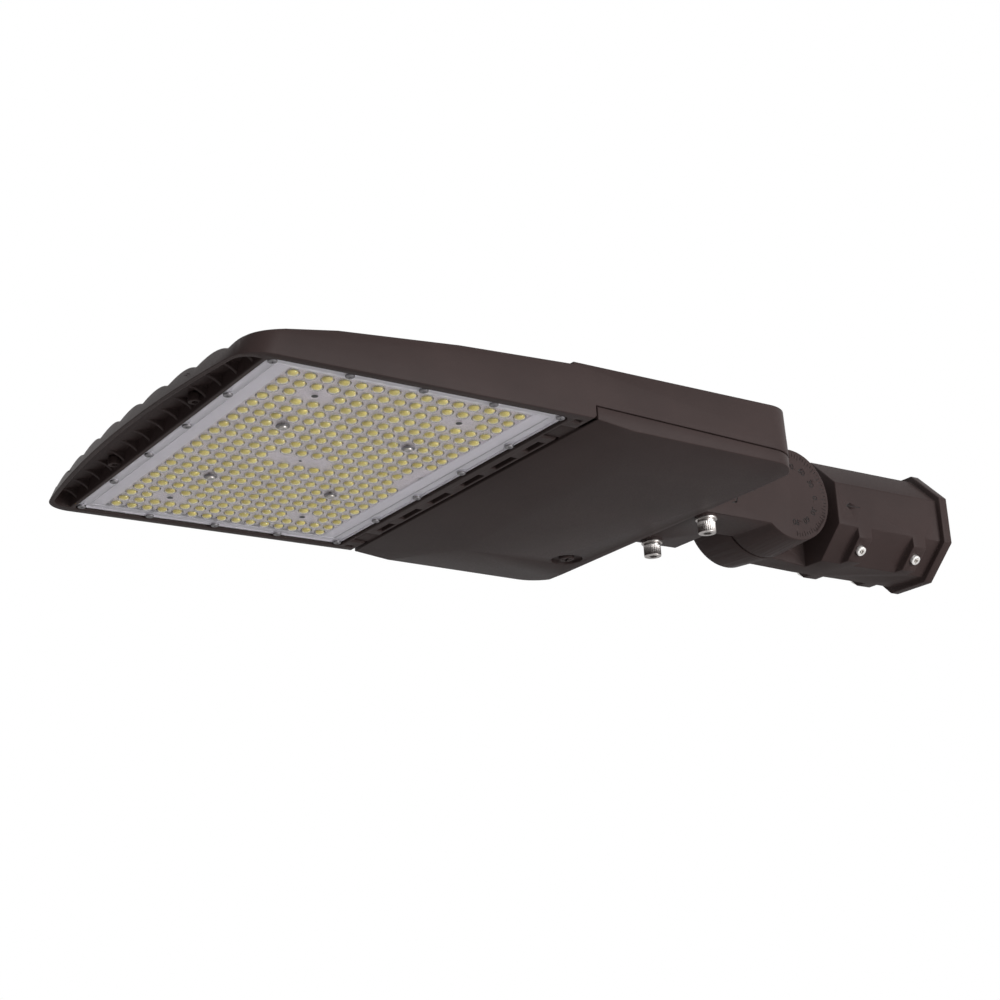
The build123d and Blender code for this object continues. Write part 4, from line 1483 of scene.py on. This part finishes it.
@dataclass
class Fasteners:
    """Every screw, bolt and washer of the street light, its places in millimetres."""

    finishes: Finishes
    cover: LensCover
    arm_x: float = -246.0
    arm_y: float = 32.0
    arm_levels: tuple[float, float, float] = (-27.7, -29.35, -31.5)
    pan_level: float = -23.4
    field_washer_level: float = -22.62
    driver_spot: Point = (-379.0, 110.0, 1.8)
    pads: tuple[float, float] = (-32.5, -92.0)
    clamp_run: tuple[float, float] = (31.4, 49.0)
    captive_spot: Point = (-287.0, 86.0, -29.6)
    captive_turn: float = 20.0
    pivot_x: float = -165.0
    pivot_seats: tuple[float, float, float] = (28.3, 30.8, 33.4)
    pivot_flats: float = 18.0
    pivot_head: float = 7.5
    pivot_crown: float = 10.2
    pivot_crown_edge: float = 1.2
    pivot_shoulder: float = 3.0
    pivot_length: float = 57.0
    pivot_turn: float = 12.0

    def build(self) -> None:
        """Builds and dresses all fasteners."""
        arm = [mm(self.arm_x, side * self.arm_y, 0) for side in (-1, 1)]
        driver_x, driver_y, driver_level = self.driver_spot
        driver = [mm(driver_x, side * driver_y, 0) for side in (-1, 1)]
        border, inner = self.cover.screw_spots(), self.cover.field_spots()
        plain_level, spring_level, cap_level = self.arm_levels
        plain, spring = Ring(8 * MM, 4.3 * MM, 1.6 * MM), Ring(6.6 * MM, 4.3 * MM, 2.1 * MM, True)
        cap = ScrewHead(6.5 * MM, 8 * MM, 3.95 * MM, 36 * MM, knurls=30, recess_depth=5 * MM)
        pan = ScrewHead(
            2.9 * MM, 1.4 * MM, 1.4 * MM, 7 * MM, Recess.CROSS,
            recess_size=2.6 * MM, recess_depth=0.9 * MM, rim=0.8 * MM, rim_segments=4, sides=24,
        )
        slab = ScrewHead(
            3.6 * MM, 2.4 * MM, 1.9 * MM, 5.5 * MM, Recess.CROSS,
            recess_size=3.6 * MM, recess_depth=1.4 * MM, rim=1.1 * MM, rim_segments=4, sides=28,
        )
        washer = Ring(4.5 * MM, 1.7 * MM, 0.75 * MM)
        steel, dull = self.finishes.steel, self.finishes.dull
        self.hang("arm_plain_washers", "arm_flat_washers", plain, arm, plain_level, steel)
        self.hang("arm_spring_washers", "arm_lock_washers", spring, arm, spring_level, steel)
        self.hang("arm_cap_screws", "arm_bolts", cap, arm, cap_level, steel)
        self.hang("border_pan_screws", "lens_screws", pan, border, self.pan_level, dull)
        level = self.field_washer_level
        self.hang("field_plain_washers", "field_washers", washer, inner, level, dull)
        self.hang("field_pan_screws", "field_screws", pan, inner, self.pan_level, steel)
        self.hang("driver_pan_screws", "driver_screws", slab, driver, driver_level, steel)
        self.pivot_washers()
        self.set_screws().build(self.finishes.zinc)
        self.captive().build(self.finishes.paint)
        self.pivot_bolt()

    def hang(
        self,
        name: str,
        node: str,
        master: ScrewHead | Ring,
        spots: Sequence[Vector],
        level: float,
        material: bpy.types.Material,
    ) -> None:
        """Builds equal fasteners that face down at one level.

        Args:
            name: The piece's name.
            node: The node that it stands for.
            master: The fastener.
            spots: Its plan spots.
            level: Height of its seats, in millimetres.
            material: Its finish.
        """
        seats = [spot + mm(0, 0, level) for spot in spots]
        FastenerSet(name, node, master, seats, [DOWN] * len(seats)).build(material)

    def pivot_washers(self) -> None:
        """Builds the plain and the spring washer under the pivot bolt's head."""
        plain, spring = Ring(12 * MM, 6.1 * MM, 2.4 * MM), Ring(10.2 * MM, 6.1 * MM, 2.5 * MM, True)
        rings = (
            ("pivot_plain_washer", "pivot_washer", plain),
            ("pivot_spring_washer", "pivot_lock_washer", spring),
        )
        for (name, node, ring), seat in zip(rings, self.pivot_seats):
            place, axis = mm(self.pivot_x, seat, 0), Vector((0, 1, 0))
            FastenerSet(name, node, ring, [place], [axis]).build(self.finishes.steel)

    def set_screws(self) -> FastenerSet:
        """Seats the four socket set screws that clamp the tenon.

        Returns:
            Their set.
        """
        start, end = self.clamp_run
        screw = ScrewHead(
            3.93 * MM, (end - start) * MM, 2.6 * MM, 0.2 * MM,
            recess_size=4 * MM, recess_depth=4 * MM, sides=32,
        )
        axes = [Vector((0, side, -1)).normalized() for side in (-1, 1) for _ in self.pads]
        spots = [mm(pad, 0, 0) for _ in (-1, 1) for pad in self.pads]
        seats = [spot + axis * start * MM for spot, axis in zip(spots, axes)]
        return FastenerSet("clamp_set_screws", "tenon_set_screws", screw, seats, axes)

    def captive(self) -> FastenerSet:
        """Seats the door's captive screw.

        Returns:
            Its set.
        """
        screw = ScrewHead(
            6 * MM, 2.6 * MM, 3 * MM, 18 * MM, Recess.CROSS,
            recess_size=8 * MM, recess_depth=1.5 * MM, rim=1.2 * MM, rim_segments=4, sides=36,
        )
        seat = [mm(*self.captive_spot)]
        return FastenerSet(
            "door_captive_screw", "captive_screw", screw, seat, [DOWN], "cast_paint", self.captive_turn
        )

    def pivot_bolt(self) -> None:
        """Adds the hexagon bolt that the head tilts on."""
        top = self.pivot_head * MM
        corners = self.pivot_flats / math.sqrt(3) * MM
        piece = Bench.cylinder("pivot_hex_bolt", corners, 0, top, 6)
        crown = Bench.cylinder("crown", self.pivot_crown * MM, -MM, top, 48)
        with Edit(crown) as edit:
            edit.pick(
                Part.EDGES, lambda edge: all(point.co.z > top - NEAR for point in edge.verts)
            )
            bpy.ops.mesh.bevel(offset=self.pivot_crown_edge * MM, segments=1)
        Bench.carve(piece, crown, "INTERSECT")
        with Edit(piece) as edit:
            edit.pick(Part.FACES, lambda face: face.normal.z < -0.9)
            bpy.ops.mesh.inset(thickness=self.pivot_shoulder * MM)
            run = (0, 0, -self.pivot_length * MM)
            bpy.ops.mesh.extrude_region_move(TRANSFORM_OT_translate={"value": run})
        Bench.smooth(piece, 30)
        seat = mm(self.pivot_x, self.pivot_seats[-1], 0)
        Bench.set_at(piece, seat, Vector((0, 1, 0)), self.pivot_turn)
        finish_piece(piece, self.finishes.steel, ["pivot_bolt"])


# Driver bay


@dataclass
class DriverBay:
    """What sits behind the door, and the plain nodes that keep their own shape."""

    finishes: Finishes

    def build(self) -> None:
        """Builds and dresses the driver, its neighbours, gaskets and pins."""
        cases = (
            ("driver_box", "led_driver", self.finishes.driver, "driver_case", 1.0),
            ("surge_box", "surge_protector", self.finishes.surge, "surge_case", 0.9),
            ("terminal_body", "terminal_block", self.finishes.terminal, "terminal_case", 0.35),
            ("hex_standoffs", "bay_standoffs", self.finishes.steel, "steel", 0.4),
        )
        for name, node, material, slot, edge in cases:
            piece = Casting(name, node, edge=edge * MM, segments=3).build()
            finish_piece(piece, material, [node])
        plain = {
            "led_board": self.finishes.board,
            "lens_gasket": self.finishes.rubber,
            "door_gasket": self.finishes.rubber,
            "wire_grommet": self.finishes.rubber,
            "hinge_pins": self.finishes.steel,
            "screw_clip": self.finishes.steel,
        }
        for node, material in plain.items():
            slots = frame["nodes"][node].data.materials
            slots.clear()
            slots.append(material)
            log.info("%s keeps its own shape", node)


# Studio


@dataclass
class Studio:
    """Camera at the photograph's angle, soft lamps, pale floor and white surround."""

    spot: Point = (-1.0828, -0.9793, -0.4215)
    across: Point = (0.8307, -0.5546, -0.0490)
    down: Point = (0.1362, 0.2878, -0.9480)
    ahead: Point = (0.5398, 0.7808, 0.3146)
    lens: float = 64.84
    floor_level: float = -0.62
    surround: float = 0.37
    floor_grey: Colour = (0.86, 0.86, 0.86)
    floor_side: float = 12.0
    target: Point = (-0.35, 0.0, 0.0)
    lamps: tuple[tuple[str, Point, float, float], ...] = (
        ("side_lamp", (0.4, -2.3, 0.2), 1.6, 56.0),
        ("top_lamp", (-0.5, 0.6, 2.4), 2.0, 27.0),
        ("low_lamp", (0.2, -1.4, -0.52), 1.0, 15.0),
    )

    def camera(self) -> None:
        """Adds the camera."""
        data = bpy.data.cameras.new("camera")
        data.sensor_width = 36.0
        data.lens = self.lens
        data.clip_start = 0.01
        camera = bpy.data.objects.new("camera", data)
        bpy.context.scene.collection.objects.link(camera)
        turn = Matrix((self.across, [-v for v in self.down], [-v for v in self.ahead])).transposed()
        camera.matrix_world = Matrix.Translation(self.spot) @ turn.to_4x4()
        bpy.context.scene.camera = camera

    def lamp(self, name: str, spot: Point, size: float, power: float) -> None:
        """Adds one soft lamp that points at the street light.

        Args:
            name: Its name.
            spot: Where it hangs.
            size: Side of its square face.
            power: Its power in watts.
        """
        data = bpy.data.lights.new(name, "AREA")
        data.size = size
        data.energy = power
        lamp = bpy.data.objects.new(name, data)
        bpy.context.scene.collection.objects.link(lamp)
        turn = (Vector(self.target) - Vector(spot)).to_track_quat("-Z", "Y")
        lamp.matrix_world = Matrix.Translation(spot) @ turn.to_matrix().to_4x4()

    def floor(self) -> None:
        """Adds the pale floor, seen only from above."""
        Bench.hold()
        place = (self.target[0], self.target[1], self.floor_level)
        bpy.ops.mesh.primitive_plane_add(size=self.floor_side, location=place)
        floor = Bench.named("studio_floor")
        Bench.settle(floor)
        desk = NodeDesk(bpy.data.materials.new("studio_floor"))
        desk.set(Base_Color=self.floor_grey, Roughness=0.9, Specular_IOR_Level=0.1)
        below = desk.node("NewGeometry").outputs["Backfacing"]
        clear = desk.node("BsdfTransparent").outputs[0]
        paint = desk.shader.outputs[0]
        desk.surface(desk.fill(desk.node("MixShader"), below, paint, clear))
        floor.data.materials.append(desk.owner)

    def world(self) -> None:
        """Makes a surround that is white to look at and softer as a light."""
        desk = NodeDesk(bpy.data.worlds.new("surround"))
        bpy.context.scene.world = desk.owner
        desk.set(Color=(1.0, 1.0, 1.0), Strength=self.surround)
        white = desk.node("Background", Color=(1.0, 1.0, 1.0, 1.0)).outputs[0]
        path = desk.node("LightPath").outputs
        seen = path["Is Camera Ray"]
        for name in ("Is Glossy Ray", "Is Transmission Ray"):
            larger = desk.node("Math")
            larger.operation = "MAXIMUM"
            seen = desk.fill(larger, seen, path[name])
        desk.surface(desk.fill(desk.node("MixShader"), seen, desk.shader.outputs[0], white))

    def build(self) -> None:
        """Sets the whole studio up."""
        bpy.context.scene.view_settings.view_transform = "Standard"
        self.camera()
        self.world()
        self.floor()
        for name, spot, size, power in self.lamps:
            self.lamp(name, spot, size, power)
        log.info("studio ready")


def main() -> None:
    """Builds every sub-assembly in order."""
    logging.basicConfig(level=logging.INFO, format="%(name)s: %(message)s")
    Studio().build()
    finishes = Finishes()
    HeadHousing(finishes).build()
    TiltKnuckle(finishes).build()
    cover = LensCover(finishes)
    cover.build()
    Fasteners(finishes, cover).build()
    DriverBay(finishes).build()


if __name__ == "__main__":
    main()
